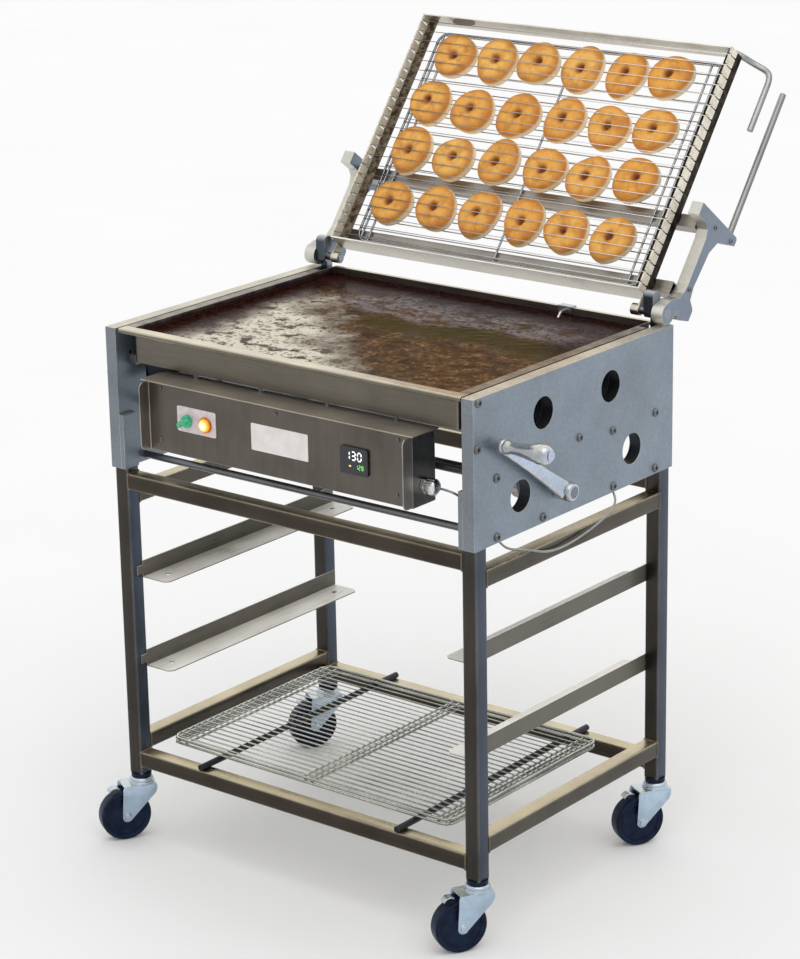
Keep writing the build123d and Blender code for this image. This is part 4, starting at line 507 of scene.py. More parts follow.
eye_turn = np.radians(np.linspace(-145, 0, 12))
eye_line = np.c_[TRAIL + CHEEK_EYE * np.cos(eye_turn), AXLE_Z + CHEEK_EYE * np.sin(eye_turn)]
cheek_line = np.concatenate((CHEEK_FRONT, eye_line, CHEEK_REAR))
cheek_middle = cheek_line.mean(0)
cheek_rows = np.stack([cheek_middle + (cheek_line - cheek_middle) * grow for grow in CHEEK_GROW])
cheek_grid = np.stack([on_caster(cheek_rows[..., 0], (side * CHEEK_DEPTH)[:, None], cheek_rows[..., 1])
                       for side in (-1, 1)])
crown_line = rounded_outline(CROWN_LONG, CROWN_WIDE, CROWN_ROUND) + (CROWN_BACK, 0)
crown_grid = on_caster(crown_line[:, 0], crown_line[:, 1], CROWN_LEVELS[:, None])
race_grid = turned(0.0, UP, TRAIL_WAY, AXLE_WAY, RACE_ROWS)
bolt_grid = np.stack([turned(axle_place, side * AXLE_WAY, TRAIL_WAY, UP, BOLT_ROWS) for side in (-1, 1)])
tab_way = unit(np.gradient(TAB_LINE, axis=0))
tab_over = np.c_[-tab_way[:, 1], tab_way[:, 0]]
tab_flat = TAB_LINE[:, None] + TAB_EDGE[None, :, 1:] * tab_over[:, None]
tab_grid = on_caster(tab_flat[..., 0], TAB_EDGE[:, 0], tab_flat[..., 1])
zinc = metal_finish("zinc_plate", "acc0d2", "a8bacb", "d3dada", 0.24, fine=60.0, cloud=0.14, stroke=0.08, edge=0.0014)
for corner, leg in CORNERS.items():
    foot = (*leg, 0.0)
    form(f"{corner}_fork_pressing", capped(race_grid + foot, cheek_grid + foot, crown_grid + foot, bolt_grid + foot),
         zinc, f"{corner}_swivel", "zinc", f"{corner}_fork")
    form(f"{corner}_brake_tab", capped(tab_grid + foot), zinc, f"{corner}_pedal", "zinc", f"{corner}_brake")

# Hinge posts: dark coated bar at the plates' rear corners, with the pivot pins that carry
# both the rack and the hold-down frame.
post_coat = metal_finish("post_coat", "8a9098", "4a505a", "c4c8cc", 0.34, (1, 1, 0.2), 240.0, cloud=0.15)
refinish(post_coat, "left_hinge_post", "right_hinge_post")

# Pan: welded stainless tray with rolled edges, its inside stained by icing that has run
# down the wall and dried.
RIM_TOP, STAIN_DEEP, STAIN_OVER, RUN_LONG = 1.0504, 0.007, 0.003, 0.004
INSIDE_X, INSIDE_FRONT, INSIDE_REAR = (0.4105, 0.4112), (-0.2855, -0.2848), (0.3058, 0.3064)
pan_steel = metal_finish("pan_steel", "a09a90", "69645b", "e2d8c2", 0.30, (0.05, 1, 1), 300.0)
tree, shader, clean = reopen(pan_steel)
x, y, z = parts_of(place_on(tree))
inside = times(spread(reckon("ABSOLUTE", x), *INSIDE_X, 1, 0),
               times(spread(y, *INSIDE_FRONT), spread(y, *INSIDE_REAR, 1, 0)))
runs = plus(z, swing(speckle(tree, 40.0, (1, 1, 0.15)), -RUN_LONG, RUN_LONG))
stain = times(inside, spread(runs, RIM_TOP - STAIN_DEEP, RIM_TOP + STAIN_OVER, 0.98, 0.55))
dress(shader, Base_Color=tinge(stain, clean, "2b1314"), Metallic=spread(stain, 0, 1, 1.0, 0.15))
refinish(pan_steel, "pan")

# Icing: melted chocolate icing that fills the pan, with a wrinkled surface, froth drawn
# out in patches and a raised edge where it clings to the steel. A pale sheen over the front
# left and an olive band across the middle are painted reflections, and the darkening along
# the left and rear walls is painted shade.
ICE_X, ICE_FRONT, ICE_REAR, ICE_TOP, ICE_FLOOR, ICE_ROUND = 385.7, -284.7, 305.7, 1037.0, 985.3, 6.0
ICE_SAG, CLING, CLING_WIDE, MOST_RISE = 1.2, 1.6, 6.0, 0.6
WAVES = ((190, 0.35), (90, 0.3), (47, 0.28), (25, 0.22), (13, 0.16))
ice_half, ice_middle = (ICE_REAR - ICE_FRONT) / 2, (ICE_REAR + ICE_FRONT) / 2


def crowded(count):
    """Steps from -1 to 1 that crowd towards both ends: 0.35 of a sine and 0.65 of a straight line."""
    step = np.linspace(-1, 1, count)
    return np.sin(step * np.pi / 2) * 0.35 + step * 0.65


px, py = np.meshgrid(crowded(250) * ICE_X, crowded(190) * ice_half, indexing="ij")
past_x = np.maximum(np.abs(px) - ICE_X + ICE_ROUND, 0)
past_y = np.maximum(np.abs(py) - ice_half + ICE_ROUND, 0)
pull = np.maximum(past_x, past_y) / np.maximum(np.hypot(past_x, past_y), 1e-9)
pull = np.where((past_x > 0) & (past_y > 0), pull, 1.0)
px, py = np.sign(px) * (np.abs(px) - past_x * (1 - pull)), np.sign(py) * (np.abs(py) - past_y * (1 - pull))
rng = np.random.default_rng(7)
waves = np.zeros_like(px)
for wavelength, swell in WAVES:
    ways = rng.uniform(0, 2 * np.pi, 6)
    phases = rng.uniform(0, 2 * np.pi, 6)
    travel = px[..., None] * np.cos(ways) + py[..., None] * np.sin(ways)
    waves += swell * np.sin(travel * 2 * np.pi / wavelength + phases).mean(-1)
to_wall = np.maximum(np.minimum(ICE_X - np.abs(px), ice_half - np.abs(py)), 0)
surface = ICE_TOP - ICE_SAG + waves + CLING * np.exp(-to_wall / CLING_WIDE)
top_grid = at(px, py + ice_middle, np.minimum(surface, ICE_TOP + MOST_RISE))
rim = np.concatenate((top_grid[:-1, 0], top_grid[-1, :-1], top_grid[:0:-1, -1], top_grid[0, :0:-1]))
floor_rim = rim * (1, 1, 0) + (0, 0, ICE_FLOOR)

icing_gloss, tree, shader = new_finish("chocolate_icing")
across_pan, down_pan, _ = parts_of(place_on(tree))
warp = swing(speckle(tree, 9.0, detail=6.0), -0.09, 0.09)
patch = speckle(tree, 24.0, (1, 1.3, 1), 8.0, 0.66)
grit = speckle(tree, 130.0, (1, 0.8, 1), 3.0, 0.6)
streak = speckle(tree, 48.0, (0.4, 1, 1), 6.0)


def ragged_line(value, sway):
    """A distance over the pan, pushed to and fro by the warp."""
    return plus(value, times(warp, sway))


off_left = spread(ragged_line(across_pan, 0.3), -0.345, -0.275)
off_rear = spread(ragged_line(down_pan, 0.25), 0.185, 0.245, 1, 0)
rear_corner = times(spread(down_pan, 0.03, 0.11), spread(ragged_line(across_pan, 0.4), 0.25, 0.33, 0, 0.9))
off_walls = times(times(off_left, off_rear), spread(rear_corner, 0, 1, 1, 0))
slant = times(plus(across_pan, down_pan), 0.707)
# Painted reflection: a pale sheen over the front left, away from the walls.
painted_sheen = times(spread(ragged_line(slant, 0.6), -0.15, -0.07, 1, 0), off_walls)
# Painted reflection: an olive band across the middle, also glossier.
olive_row = ragged_line(down_pan, 0.3)
olive_reflection = times(spread(olive_row, -0.005, 0.035), spread(olive_row, 0.095, 0.115, 1, 0))
olive_reflection = times(olive_reflection, spread(ragged_line(across_pan, 0.6), -0.17, -0.08))
rear = times(spread(across_pan, -0.30, -0.2), times(spread(olive_row, 0.095, 0.125), spread(streak, 0.40, 0.53)))
colour = tinge(spread(patch, 0.4, 0.6), "3c2819", "6a4e30")
colour = tinge(times(rear, 0.8), colour, "7c7276")
thick = reckon("MAXIMUM", spread(patch, 0.42, 0.58, 0.15, 1), rear)
colour = tinge(times(thick, spread(grit, 0.56, 0.70, 0, 0.6)), colour, "ab9676")
colour = tinge(times(thick, spread(grit, 0.38, 0.47, 0.9, 0)), colour, "1c0f0a")
colour = tinge(times(olive_reflection, 0.88), colour, "443b1c")
# Colour of the painted sheen, broken by darker specks and patches.
sheen_colour = tinge(spread(grit, 0.36, 0.46, 1, 0), "dcd5c4", "6a5c4c")
sheen_colour = tinge(spread(plus(patch, times(grit, 0.2)), 0.63, 0.70, 0, 0.92), sheen_colour, "382216")
colour = tinge(painted_sheen, colour, sheen_colour)
# Painted shade along the left and rear walls.
wall_shade = tinge(spread(grit, 0.45, 0.6), "1a0807", "36140f")
dress(shader, Base_Color=tinge(spread(off_walls, 0, 1, 0.95, 0), colour, wall_shade), Specular_IOR_Level=0.02,
      Roughness=plus(spread(olive_reflection, 0, 1, 0.22, 0.08), spread(painted_sheen, 0, 1, 0, 0.12)))
roughen(shader, plus(times(grit, 0.3), patch), 0.0008)
form("icing_surface", [
    (top_grid, False, "open"),
    (np.stack((rim, floor_rim, np.broadcast_to(floor_rim.mean(0), floor_rim.shape))), True, "open"),
], icing_gloss, "pan", "icing", "icing")

# Skirts: dark coated sheet angles, hung from the pan's sides and rear, put there as painted
# shade under the pan; they show through the plates' upper holes.
SKIRT_LINE = np.array((
    (388.5, 984.0), (390.1, 984.0), (390.1, 939.0), (377.0, 939.0), (377.0, 940.6), (388.5, 940.6),
))
REAR_LINE = np.array((
    (304.4, 984.0), (306.0, 984.0), (306.0, 939.0), (294.0, 939.0), (294.0, 940.6), (304.4, 940.6),
))
SKIRT_HALF, REAR_HALF = 255.0, 372.0
both_ends = np.array((-1, 1))[:, None]
skirt_shade = metal_finish("skirt_shade", "1c2536", "20242c", "2a2c30", 0.4, (1, 0.05, 1), 300.0, "5a626e", metal=0.6)
form("pan_skirts", capped(
    carry(REARWARD * both_ends * SKIRT_HALF, SKIRT_LINE * (-1, 1), RIGHT, UP),
    carry(REARWARD * both_ends * SKIRT_HALF, SKIRT_LINE, RIGHT, UP),
    carry(RIGHT * both_ends * REAR_HALF, REAR_LINE, REARWARD, UP),
), skirt_shade, "pan", "sheet")

# Heater mat and lift cams: moulded silicone with a woven face, stuck under the pan, and cast
# cams pinned to the crank's shaft, which push the pan's lift posts up.
heater_mat, _, shader, weave = mottled("heater_mat", "2c2927", "3c3835", 380.0, (0.55, 0.75), detail=2.0)
roughen(shader, weave, 0.0002)
refinish(heater_mat, "heater")
cam_metal = metal_finish("cam_casting", "a4a6a8", "9c9c9a", "c4c2ba", 0.35, fine=200.0)
refinish(cam_metal, "lift_cams")

# Crank: a polished casting, thick at the shaft and slim at the grip, held on its shaft by a
# screw, and a turned grip that spins on its spindle.
SHAFT, ARM_PLANE = np.array((0.0, -63.0, 825.4)), 456.5
REACH, RISE = 231.0, np.radians(145.2)
HUB_ROWS = ((437.4, 15.5), (438.2, 17.0), (446, 17.6), (452, 18.2), (463, 18.2), (470, 17.4), (473.6, 15.6),
            (474.9, 12.5), (475.0, 11.2), (472.6, 10.6))
HUB_SEAT, HUB_HEAD = 472.4, (8.2, 2.4)
END_ROWS = ((450.2, 11.2), (451.0, 12.6), (456, 13.1), (461, 12.8), (462.6, 11.6), (462.9, 9.8))
SPINDLE_ROWS = ((462.6, 5.9), (559.5, 5.9), (559.6, 8.6), (560.4, 9.4), (562.0, 8.8), (562.5, 6.5))
GRIP_ROWS = ((463.6, 6.2), (463.5, 11.8), (464.8, 13.2), (469, 13.2), (473, 11.6), (479, 10.8), (490, 11.2),
             (505, 13.0), (520, 15.8), (532, 17.9), (541, 18.6), (548, 18.2), (553.5, 16.4), (557.4, 13.0),
             (559, 9.4), (559.2, 6.2))
step, turn = np.linspace(0, 1, 40), full_turn(48)
arm_wide = np.interp(step, (0, 0.12, 0.3, 0.7, 0.9, 1.0), (18.0, 16.6, 14.4, 12.0, 11.8, 12.6))
arm_thick = np.interp(step, (0, 0.15, 0.5, 0.85, 1.0), (11.5, 10.8, 9.2, 7.0, 6.2))
arm_way, arm_over = at(0, np.cos(RISE), np.sin(RISE)), at(0, -np.sin(RISE), np.cos(RISE))
arm_mid = SHAFT + RIGHT * ARM_PLANE + arm_way * (step * REACH)[:, None]
arm_oval = np.stack((np.outer(arm_wide, np.cos(turn)), np.outer(arm_thick, np.sin(turn))), -1)
grip_point = SHAFT + arm_way * REACH
crank_ways = RIGHT, arm_way, arm_over
crank_metal = metal_finish("crank_casting", "b4c2d6", "a6a8aa", "ece6da", 0.20, fine=150.0, cloud=0.12, stroke=0.12)
form("crank_casting", capped(
    carry(arm_mid, arm_oval, arm_over, RIGHT), turned(SHAFT, *crank_ways, HUB_ROWS),
    turned(grip_point, *crank_ways, END_ROWS), turned(grip_point, *crank_ways, SPINDLE_ROWS),
    screw_heads((SHAFT + RIGHT * HUB_SEAT)[None], *crank_ways, *HUB_HEAD),
), crank_metal, "crank", "cast", "crank_arm")
form("crank_grip_turned", looped(turned(grip_point, *crank_ways, GRIP_ROWS)),
     crank_metal, "grip", "grip", "crank_grip")

# Control box: folded brushed sheet, hung under the pan on studs. The panel's ends turn
# forward as guards, and a cover hangs over the front.
PANEL_FACE, PANEL_HEAD = -329.5, (4.2, 2.6)
PANEL_SCREWS = np.array(((-284, 958), (0, 956), (-287, 858), (285, 957), (280, 854.5)))
AHEAD = -REARWARD
box_sheet = metal_finish("box_sheet", "6e6b68", "6a645c", "8a8478", 0.30, fine=120.0, edge=0.0014)
# The panel's edges are painted near white as a highlight along the bent ears.
panel_sheet = metal_finish("panel_sheet", "a39c94", "605b55", "b8ae9c", 0.34, (1, 1, 0.12), 90.0, "f6f4f0",
                           stroke=0.07, edge=0.0022)
cover_sheet = metal_finish("cover_sheet", "8a8376", "a39b8a", "b0a798", 0.36, (0.2, 1, 1), 160.0, stroke=0.07,
                           edge=0.0012, metal=0.6)
refinish(box_sheet, "box_shell")
refinish(panel_sheet, "front_panel")
refinish(cover_sheet, "box_cover")
panel_places = at(PANEL_SCREWS[:, 0], PANEL_FACE, PANEL_SCREWS[:, 1])
form("panel_screws", capped(screw_heads(panel_places, AHEAD, RIGHT, UP, *PANEL_HEAD)), screw_metal, "pan", "rod")


# Bare plate: white enamelled aluminium with rounded corners, stuck to the middle of the
# panel and a little dusty.
def panel_plate(x, z, wide, high, corner, rise, back=PANEL_FACE, lip=0.4):
    """Rounded plate on the panel: its outline at the back, at the front less a lip, and drawn in by the lip."""
    rows = []
    for shrink, forward in ((0, 0), (0, rise - lip), (lip, rise)):
        line = rounded_outline(wide - 2 * shrink, high - 2 * shrink, corner - shrink, 7)
        rows.append(at(x + line[:, 0], back - forward, z + line[:, 1]))
    return np.stack(rows)


white_plate, tree, shader, _ = mottled("white_enamel", "e2dedc", "d8d2d0", 45.0, (0.28, 0.42), detail=5.0,
                                       band=(0.4, 0.7))
roughen(shader, speckle(tree, 260.0), 0.00008)
plate_grid = panel_plate(x=8.0, z=904.4, wide=136.0, high=51.5, corner=2.5, rise=0.9, back=PANEL_FACE + 0.1)
form("bare_plate", capped(plate_grid), white_plate, "pan", "legend")

# Legend plate behind the selector and the lamp: pale anodised aluminium, clamped under
# their collars.
legend_finish, tree, shader, _ = mottled("legend_plate", "d6cccc", "c6babc", 70.0, (0.3, 0.46), detail=5.0,
                                        band=(0.4, 0.65))
roughen(shader, speckle(tree, 300.0), 0.00008)
legend_grid = panel_plate(x=-194.0, z=908.4, wide=96.0, high=49.0, corner=4.0, rise=1.5)
form("legend_face", capped(legend_grid), legend_finish, "pan", "legend", "legend_plate")

# Lamp: an amber lens, lit from behind and hottest in the middle, pressed into a turned bezel
# on the legend plate.
LAMP_AT = np.array((-171.0, -331.0, 906.0))
HOT_R, COOL_R = 0.002, 0.012
LENS_ROWS = ((0.5, 12.6), (4.5, 12.6), (6.6, 11.6), (8.4, 9.4), (9.6, 6.0), (10.0, 2.8))
BEZEL_ROWS = ((0.0, 12.8), (0.0, 15.0), (2.6, 15.0), (3.8, 14.2), (4.0, 12.8))
lens, tree, shader = new_finish("amber_lens")
from_middle = tree.nodes.new("ShaderNodeMapping")
from_middle.inputs["Location"].default_value = tuple(-LAMP_AT * 0.001 * (1, 0, 1))
from_middle.inputs["Scale"].default_value = (1, 0, 1)
feed(from_middle.inputs["Vector"], place_on(tree))
hot = spread(arrow("LENGTH", from_middle.outputs["Vector"]), HOT_R, COOL_R, 1, 0)
glow = tinge(hot, "f58a00", "fff2a8")
dress(shader, Base_Color=glow, Emission_Color=glow, Emission_Strength=spread(hot, 0, 1, 0.8, 1.6),
      Roughness=swing(speckle(tree, 220.0), 0.08, 0.2))
form("lamp_lens", capped(turned(LAMP_AT, AHEAD, RIGHT, UP, LENS_ROWS, columns=40)), lens, "pan", "lamp", "lamp")
# The bezel's amber is painted glow from the lamp.
glow_amber_bezel = metal_finish("lamp_bezel", "c8741a", "c46c12", "e8a850", 0.25, fine=200.0)
form("lamp_bezel", looped(turned(LAMP_AT, AHEAD, RIGHT, UP, BEZEL_ROWS, columns=40)), glow_amber_bezel, "pan", "lamp")

# Selector: a green moulded knob, glossy, with a finger bar that points down to the left. It
# is pressed on the switch's shaft.
KNOB_AT = np.array((-216.0, -331.3, 906.0))
KNOB_ROWS = ((0.0, 10.8), (1.0, 12.0), (4.5, 12.0), (6.2, 11.2), (7.0, 9.6))
BAR_HALF, BAR_WIDE, BAR_HIGH, BAR_FOOT, BAR_LEVEL, BAR_POINTS = 17.5, 5.2, 14.0, 2.0, 5.0, np.radians(214)


def blunt(wave, power):
    """Wave with broader peaks: its sign times its size to a power under one."""
    return np.sign(wave) * np.abs(wave) ** power


knob_green, _, shader, _ = mottled("knob_green", "068a58", "2fc48e", 90.0, (0.12, 0.24), (1, 1, 2))
dress(shader, Coat_Weight=0.4)
bar_way, bar_over = at(np.cos(BAR_POINTS), 0, np.sin(BAR_POINTS)), at(-np.sin(BAR_POINTS), 0, np.cos(BAR_POINTS))
bar_step, bar_turn = np.linspace(-1, 1, 30), full_turn(20)
bar_high = BAR_HIGH * np.sqrt(np.clip(1 - np.abs(bar_step) ** 3, 0, 1)) + BAR_FOOT
bar_wide = BAR_WIDE * np.clip(1 - np.abs(bar_step) ** 6, 0.02, 1) ** 0.5
bar_mid = KNOB_AT + bar_way * (bar_step * BAR_HALF)[:, None] + AHEAD * (BAR_LEVEL + bar_high / 2)[:, None]
bar_oval = np.stack((np.outer(bar_wide, blunt(np.cos(bar_turn), 0.6)),
                     np.outer(bar_high / 2, blunt(np.sin(bar_turn), 0.6))), -1)
form("selector_lever", capped(turned(KNOB_AT, AHEAD, RIGHT, UP, KNOB_ROWS, columns=40),
                              carry(bar_mid, bar_oval, bar_over, AHEAD)),
     knob_green, "selector", "knob", "selector_knob")

# Temperature controller: a black moulded bezel with a glossy window, lit white digits for the
# reading and small green ones for the setting. Its case goes through the panel.
CONTROL_X, CONTROL_Z = 185.6, 901.2
CASE_LINE = np.array(((-28.7, -22.2), (28.7, -22.2), (28.7, 22.2), (-28.7, 22.2))) + (CONTROL_X, CONTROL_Z)
CASE_DEPTH = np.array((-329.4, -278.0))
MARK_LINE = np.array(((175.5, 890.0), (180.0, 890.0), (180.0, 893.0), (175.5, 893.0)))
MARK_RISE, DIGIT_RISE, DIGIT_GAP = np.array((4.9, 5.2)), np.array((4.9, 5.25)), 0.62
STROKES = {"a": (0, 2, 1, 2), "b": (1, 1, 1, 2), "c": (1, 0, 1, 1), "d": (0, 0, 1, 0), "e": (0, 0, 0, 1),
           "f": (0, 1, 0, 2), "g": (0, 1, 1, 1)}
LIT = {"0": "abcdef", "1": "bc", "2": "abged", "3": "abgcd", "8": "abcdefg"}
black_bezel, _, shader, _ = mottled("black_bezel", "08090e", "141622", 500.0, (0.22, 0.36), detail=2.0)
dress(shader, Coat_Weight=0.3)
bezel_grid = panel_plate(CONTROL_X, CONTROL_Z, wide=64.0, high=51.0, corner=5.0, rise=5.0, lip=1.0)
case_grid = at(CASE_LINE[:, 0], CASE_DEPTH[:, None], CASE_LINE[:, 1])
form("controller_bezel", capped(bezel_grid, case_grid), black_bezel, "pan", "controller", "controller")


def lit(name, code, strength):
    """Glowing digit colour, a little uneven over each stroke."""
    material, tree, shader = new_finish(name)
    colour = tinge(swing(speckle(tree, 900.0), 0, 0.25), code, "ffffff")
    dress(shader, Base_Color=colour, Emission_Color=colour, Emission_Strength=strength)
    return material


def digits(text, x, z, wide, high, pitch, thick):
    """Bars of seven-stroke digits on the controller's face: each bar is a box round the line between two corners of
    the digit, drawn in at both ends by a share of its thickness."""
    bars = [(STROKES[stroke], place) for place, letter in enumerate(text) for stroke in LIT[letter]]
    ends = np.array([corners for corners, _ in bars]) * (wide, high / 2, wide, high / 2)
    shift = np.array([place for _, place in bars])[:, None, None] * (pitch, 0) + (x, z)
    way = unit(ends[:, 2:] - ends[:, :2])
    start, end = ends[:, :2] + way * thick * DIGIT_GAP, ends[:, 2:] - way * thick * DIGIT_GAP
    over = np.c_[-way[:, 1], way[:, 0]] * thick / 2
    loop = np.stack((start + over, end + over, end - over, start - over), 1) + shift
    return at(loop[:, None, :, 0], PANEL_FACE - DIGIT_RISE[:, None], loop[:, None, :, 1])


form("reading_digits", capped(digits("130", x=168.5, z=903.5, wide=8.2, high=15.0, pitch=13.5, thick=2.2)),
     lit("white_digits", "eef4ff", 1.0), "pan", "controller")
form("setting_digits", capped(digits("128", x=191.0, z=887.5, wide=4.0, high=8.0, pitch=6.6, thick=1.3)),
     lit("green_digits", "39d52a", 0.9), "pan", "controller")
form("unit_mark", capped(at(MARK_LINE[:, 0], PANEL_FACE - MARK_RISE[:, None], MARK_LINE[:, 1])),
     lit("amber_mark", "e8b21c", 0.8), "pan", "controller")

# Terminal block inside the box: grey moulded plastic, screwed to the rear wall and seen only
# with the cover off.
block_grey, tree, shader = new_finish("terminal_grey")
grain = speckle(tree, 300.0)
dress(shader, Base_Color=tinge(grain, "3a3b3e", "505256"), Roughness=0.5)
roughen(shader, grain, 0.0002)
refinish(block_grey, "terminal_block")

# Cable gland on the box's right end: a turned hexagon body and a ribbed nut, both plated. The
# nut grips the probe's lead.
GLAND_AT = np.array((315.0, -296.0, 871.0))
HEX_ROWS = ((0.0, 14.6), (0.8, 15.8), (8.2, 15.8), (9.0, 14.6))
NUT_ROWS = np.array(((9.0, 12.4), (10.0, 14.6), (12.0, 14.9), (24.0, 14.9), (26.6, 14.0), (29.8, 10.4), (31.6, 6.6),
                     (32.0, 3.4)))
RIBS, RIB_RISE, RIB_MIDDLE, RIB_HALF = 18, 0.035, 18.0, 7.0
gland_turn = full_turn(72)
ribbed = np.abs(NUT_ROWS[:, :1] - RIB_MIDDLE) < RIB_HALF
ribs = 1 + RIB_RISE * np.sign(np.sin(RIBS * gland_turn)) * ribbed
gland_plate = metal_finish("gland_plate", "d0d5da", "c8ccd0", "eceae4", 0.18, fine=200.0, edge=0.0004)
form("gland_body", capped(turned(GLAND_AT, RIGHT, REARWARD, UP, HEX_ROWS, 72, hexagon(gland_turn)),
                          turned(GLAND_AT, RIGHT, REARWARD, UP, NUT_ROWS, 72, ribs)),
     gland_plate, "pan", "zinc", "gland")

# Probe clip and probe: a plated saddle on the pan's rear edge and a stainless probe bent
# down into the icing.
clip_plate = metal_finish("clip_plate", "9aa0a8", "8f9298", "d0d0cc", 0.26, fine=160.0)
probe_steel = metal_finish("probe_steel", "b8b8b4", "a8a8a4", "dcdad2", 0.20, fine=200.0, edge=0.0003)
refinish(clip_plate, "probe_clip")
refinish(probe_steel, "probe")

# Probe lead: steel braid over an insulated pair. It leaves the gland, hangs in a loop below
# the right plate and goes up behind the pan to the probe.
LEAD_WIDE, LEAD_LONG, LEAD_SIDES = 4.5, 0.974, 16
LEAD_ASIDE = (0.35, 0.2, -0.05)
PLAITS, PLAIT_PITCH, PLAIT_DEEP = 4, 0.9, 0.05
LEAD_ROUTE = np.array((
    (347, -296, 871), (370, -296, 871), (386, -286, 861), (395, -266, 838), (400, -241, 813), (404, -218, 784),
    (406, -200, 757), (414, -184, 740), (428, -168, 737), (440, -149, 733), (443, -122, 723), (443, -88, 715),
    (443, -46, 713), (443, 4, 718), (443, 55, 727), (441, 98, 738), (432, 129, 746), (416, 151, 750),
    (397, 168, 758), (370, 188, 776), (343, 214, 804), (319, 241, 834), (294, 268, 866), (268, 294, 901),
    (243, 315, 937), (222, 324, 966), (203, 326, 989), (191, 325, 1007.4), (191, 325, 1025.4),
))


def spline_line(route, resolution):
    """Points, in millimetres, that Blender gives for a NURBS spline of order 3 with the route as control points."""
    curve = bpy.data.curves.new("route", "CURVE")
    curve.dimensions = "3D"
    spline = curve.splines.new("NURBS")
    spline.points.add(len(route) - 1)
    spline.points.foreach_set("co", np.c_[route * 0.001, np.ones(len(route))].ravel())
    spline.order_u = 3
    spline.use_endpoint_u = True
    spline.resolution_u = resolution
    holder = bpy.data.objects.new("route", curve)
    line = bpy.data.meshes.new_from_object(holder)
    flat = np.empty(len(line.vertices) * 3)
    line.vertices.foreach_get("co", flat)
    bpy.data.objects.remove(holder)
    bpy.data.curves.remove(curve)
    bpy.data.meshes.remove(line)
    return flat.reshape(-1, 3) * 1000


lead_line = spline_line(LEAD_ROUTE, resolution=22)
lead_tube = round_bar(lead_line, 1.0, LEAD_ASIDE, LEAD_SIDES) - lead_line[:, None]
run = np.concatenate(((0,), np.cumsum(np.linalg.norm(np.diff(lead_line, axis=0), axis=1))))[:, None] * PLAIT_PITCH
wrap = PLAITS * full_turn(LEAD_SIDES)
plait = np.sin(wrap + run) * np.sin(wrap - run)
lead_grid = lead_line[:, None] + lead_tube * (LEAD_WIDE / 2 * (1 - PLAIT_DEEP + PLAIT_DEEP * plait))[..., None]
braid = metal_finish("lead_braid", "8e9092", "6c6e70", "e2e0da", 0.30, fine=700.0, edge=0.0002)
lead = form("probe_lead_braid", capped(lead_grid), braid, "pan", "lead", "probe_lead")

# Cradle: two plate arms on the pivot pins, sheet cross bars between them and a straight rod
# handle on the right arm.
LEAN, HINGE = 52.5, np.array((0, 292.0, 1074.6))
lean_cos, lean_sin = np.cos(np.radians(LEAN)), np.sin(np.radians(LEAN))
rack_along, rack_up = at(0, lean_cos, lean_sin), at(0, -lean_sin, lean_cos)
ARM_FACE, ARM_HEAD = 437.0, (5.2, 2.6)
ARM_SCREWS = np.array(((205, -45), (209, -111), (70, -38)))
arm_plate = metal_finish("arm_plate", "7f8a98", "d2cfc5", "dcd9cf", 0.38, fine=90.0, lean=LEAN, cloud=0.10,
                         stroke=0.06, edge=0.0016, metal=0.8)
bar_sheet = metal_finish("bar_sheet", "8a8780", "a09b92", "a8a39a", 0.34, (0.1, 1, 1), 200.0, lean=LEAN, metal=0.7)
handle_rod = metal_finish("handle_rod", "7f8286", "84868a", "aaaaa8", 0.30, (1, 0.05, 0.05), 400.0, lean=LEAN)
refinish(arm_plate, "left_arm", "right_arm")
refinish(bar_sheet, "cross_bars")
refinish(handle_rod, "rod_handle")


def on_rack(places):
    """Places (x, distance up the rack, height over it) in the frame: the hinge, plus each times its direction."""
    return HINGE + places @ (RIGHT, rack_along, rack_up)


form("arm_screws", capped(*(
    screw_heads(on_rack(at(side * ARM_FACE, *ARM_SCREWS.T)), side * RIGHT, rack_along, rack_up, *ARM_HEAD)
    for side in (-1, 1))), screw_metal, "cradle", "rod")

# Donut screen: the wire grid that the donuts lie on, made as the spare ones are, and clipped
# to the cross bars.
RACK_RODS, RACK_WIRES, SCREEN_UP_RACK, SCREEN_SEAT = np.array((-337.0, -318, 0, 318, 337)), 24, 288.0, -5.0
rack_wire = metal_finish("rack_wire", "7c8084", "74787c", "b4b6b8", 0.24, fine=200.0, lean=LEAN, edge=0.0003)
form("donut_screen_wires", [(on_rack(grid + (0, SCREEN_UP_RACK, SCREEN_SEAT)), ring, ends)
                            for grid, ring, ends in wire_screen(RACK_WIRES, RACK_RODS)],
     rack_wire, "cradle", "wire", "donut_screen")

# Donuts: fried yeast rings, no two alike, golden on both faces with a pale band round the
# side and faint lines where the wires press, darkened as painted shade. The holes are painted
# darker inside as shade.
DONUT_MIDDLES = np.array((
    (-269.9, 468.5), (-163.3, 468.8), (-61.4, 474.3), (47.0, 469.8), (150.8, 469.4), (252.9, 476.5),
    (-283.0, 358.6), (-172.8, 351.4), (-58.5, 354.1), (53.1, 359.4), (158.3, 354.5), (264.2, 362.2),
    (-281.2, 251.4), (-173.3, 243.3), (-60.8, 249.7), (52.3, 248.3), (158.4, 244.0), (265.0, 254.5),
    (-277.3, 130.6), (-164.4, 133.7), (-57.3, 132.6), (50.8, 133.5), (156.0, 128.6), (264.6, 126.4),
))
DONUT_R, HOLE_R, DONUT_HALF, DONUT_LEVEL, LONGER = 47.4, 5.4, 15.6, 11.0, 1.05
THICKEST, HIGHEST, FLATTER_BELOW, SWAY, TILT, HOLE_ASIDE = 15.8, 15.9, 0.98, 0.05, 0.03, 5.0
LUMPS, HOLE_LUMPS = ((1, 0.02), (2, 0.055), (3, 0.03), (5, 0.008)), 2.2
FOLD_DEEP, FOLD_R, FOLD_WIDE = 0.55, 17.0, 9.0
DENT_DEEP, DENT_WIDE, CREASE_WIDE = 0.5, 2.0, 1.1
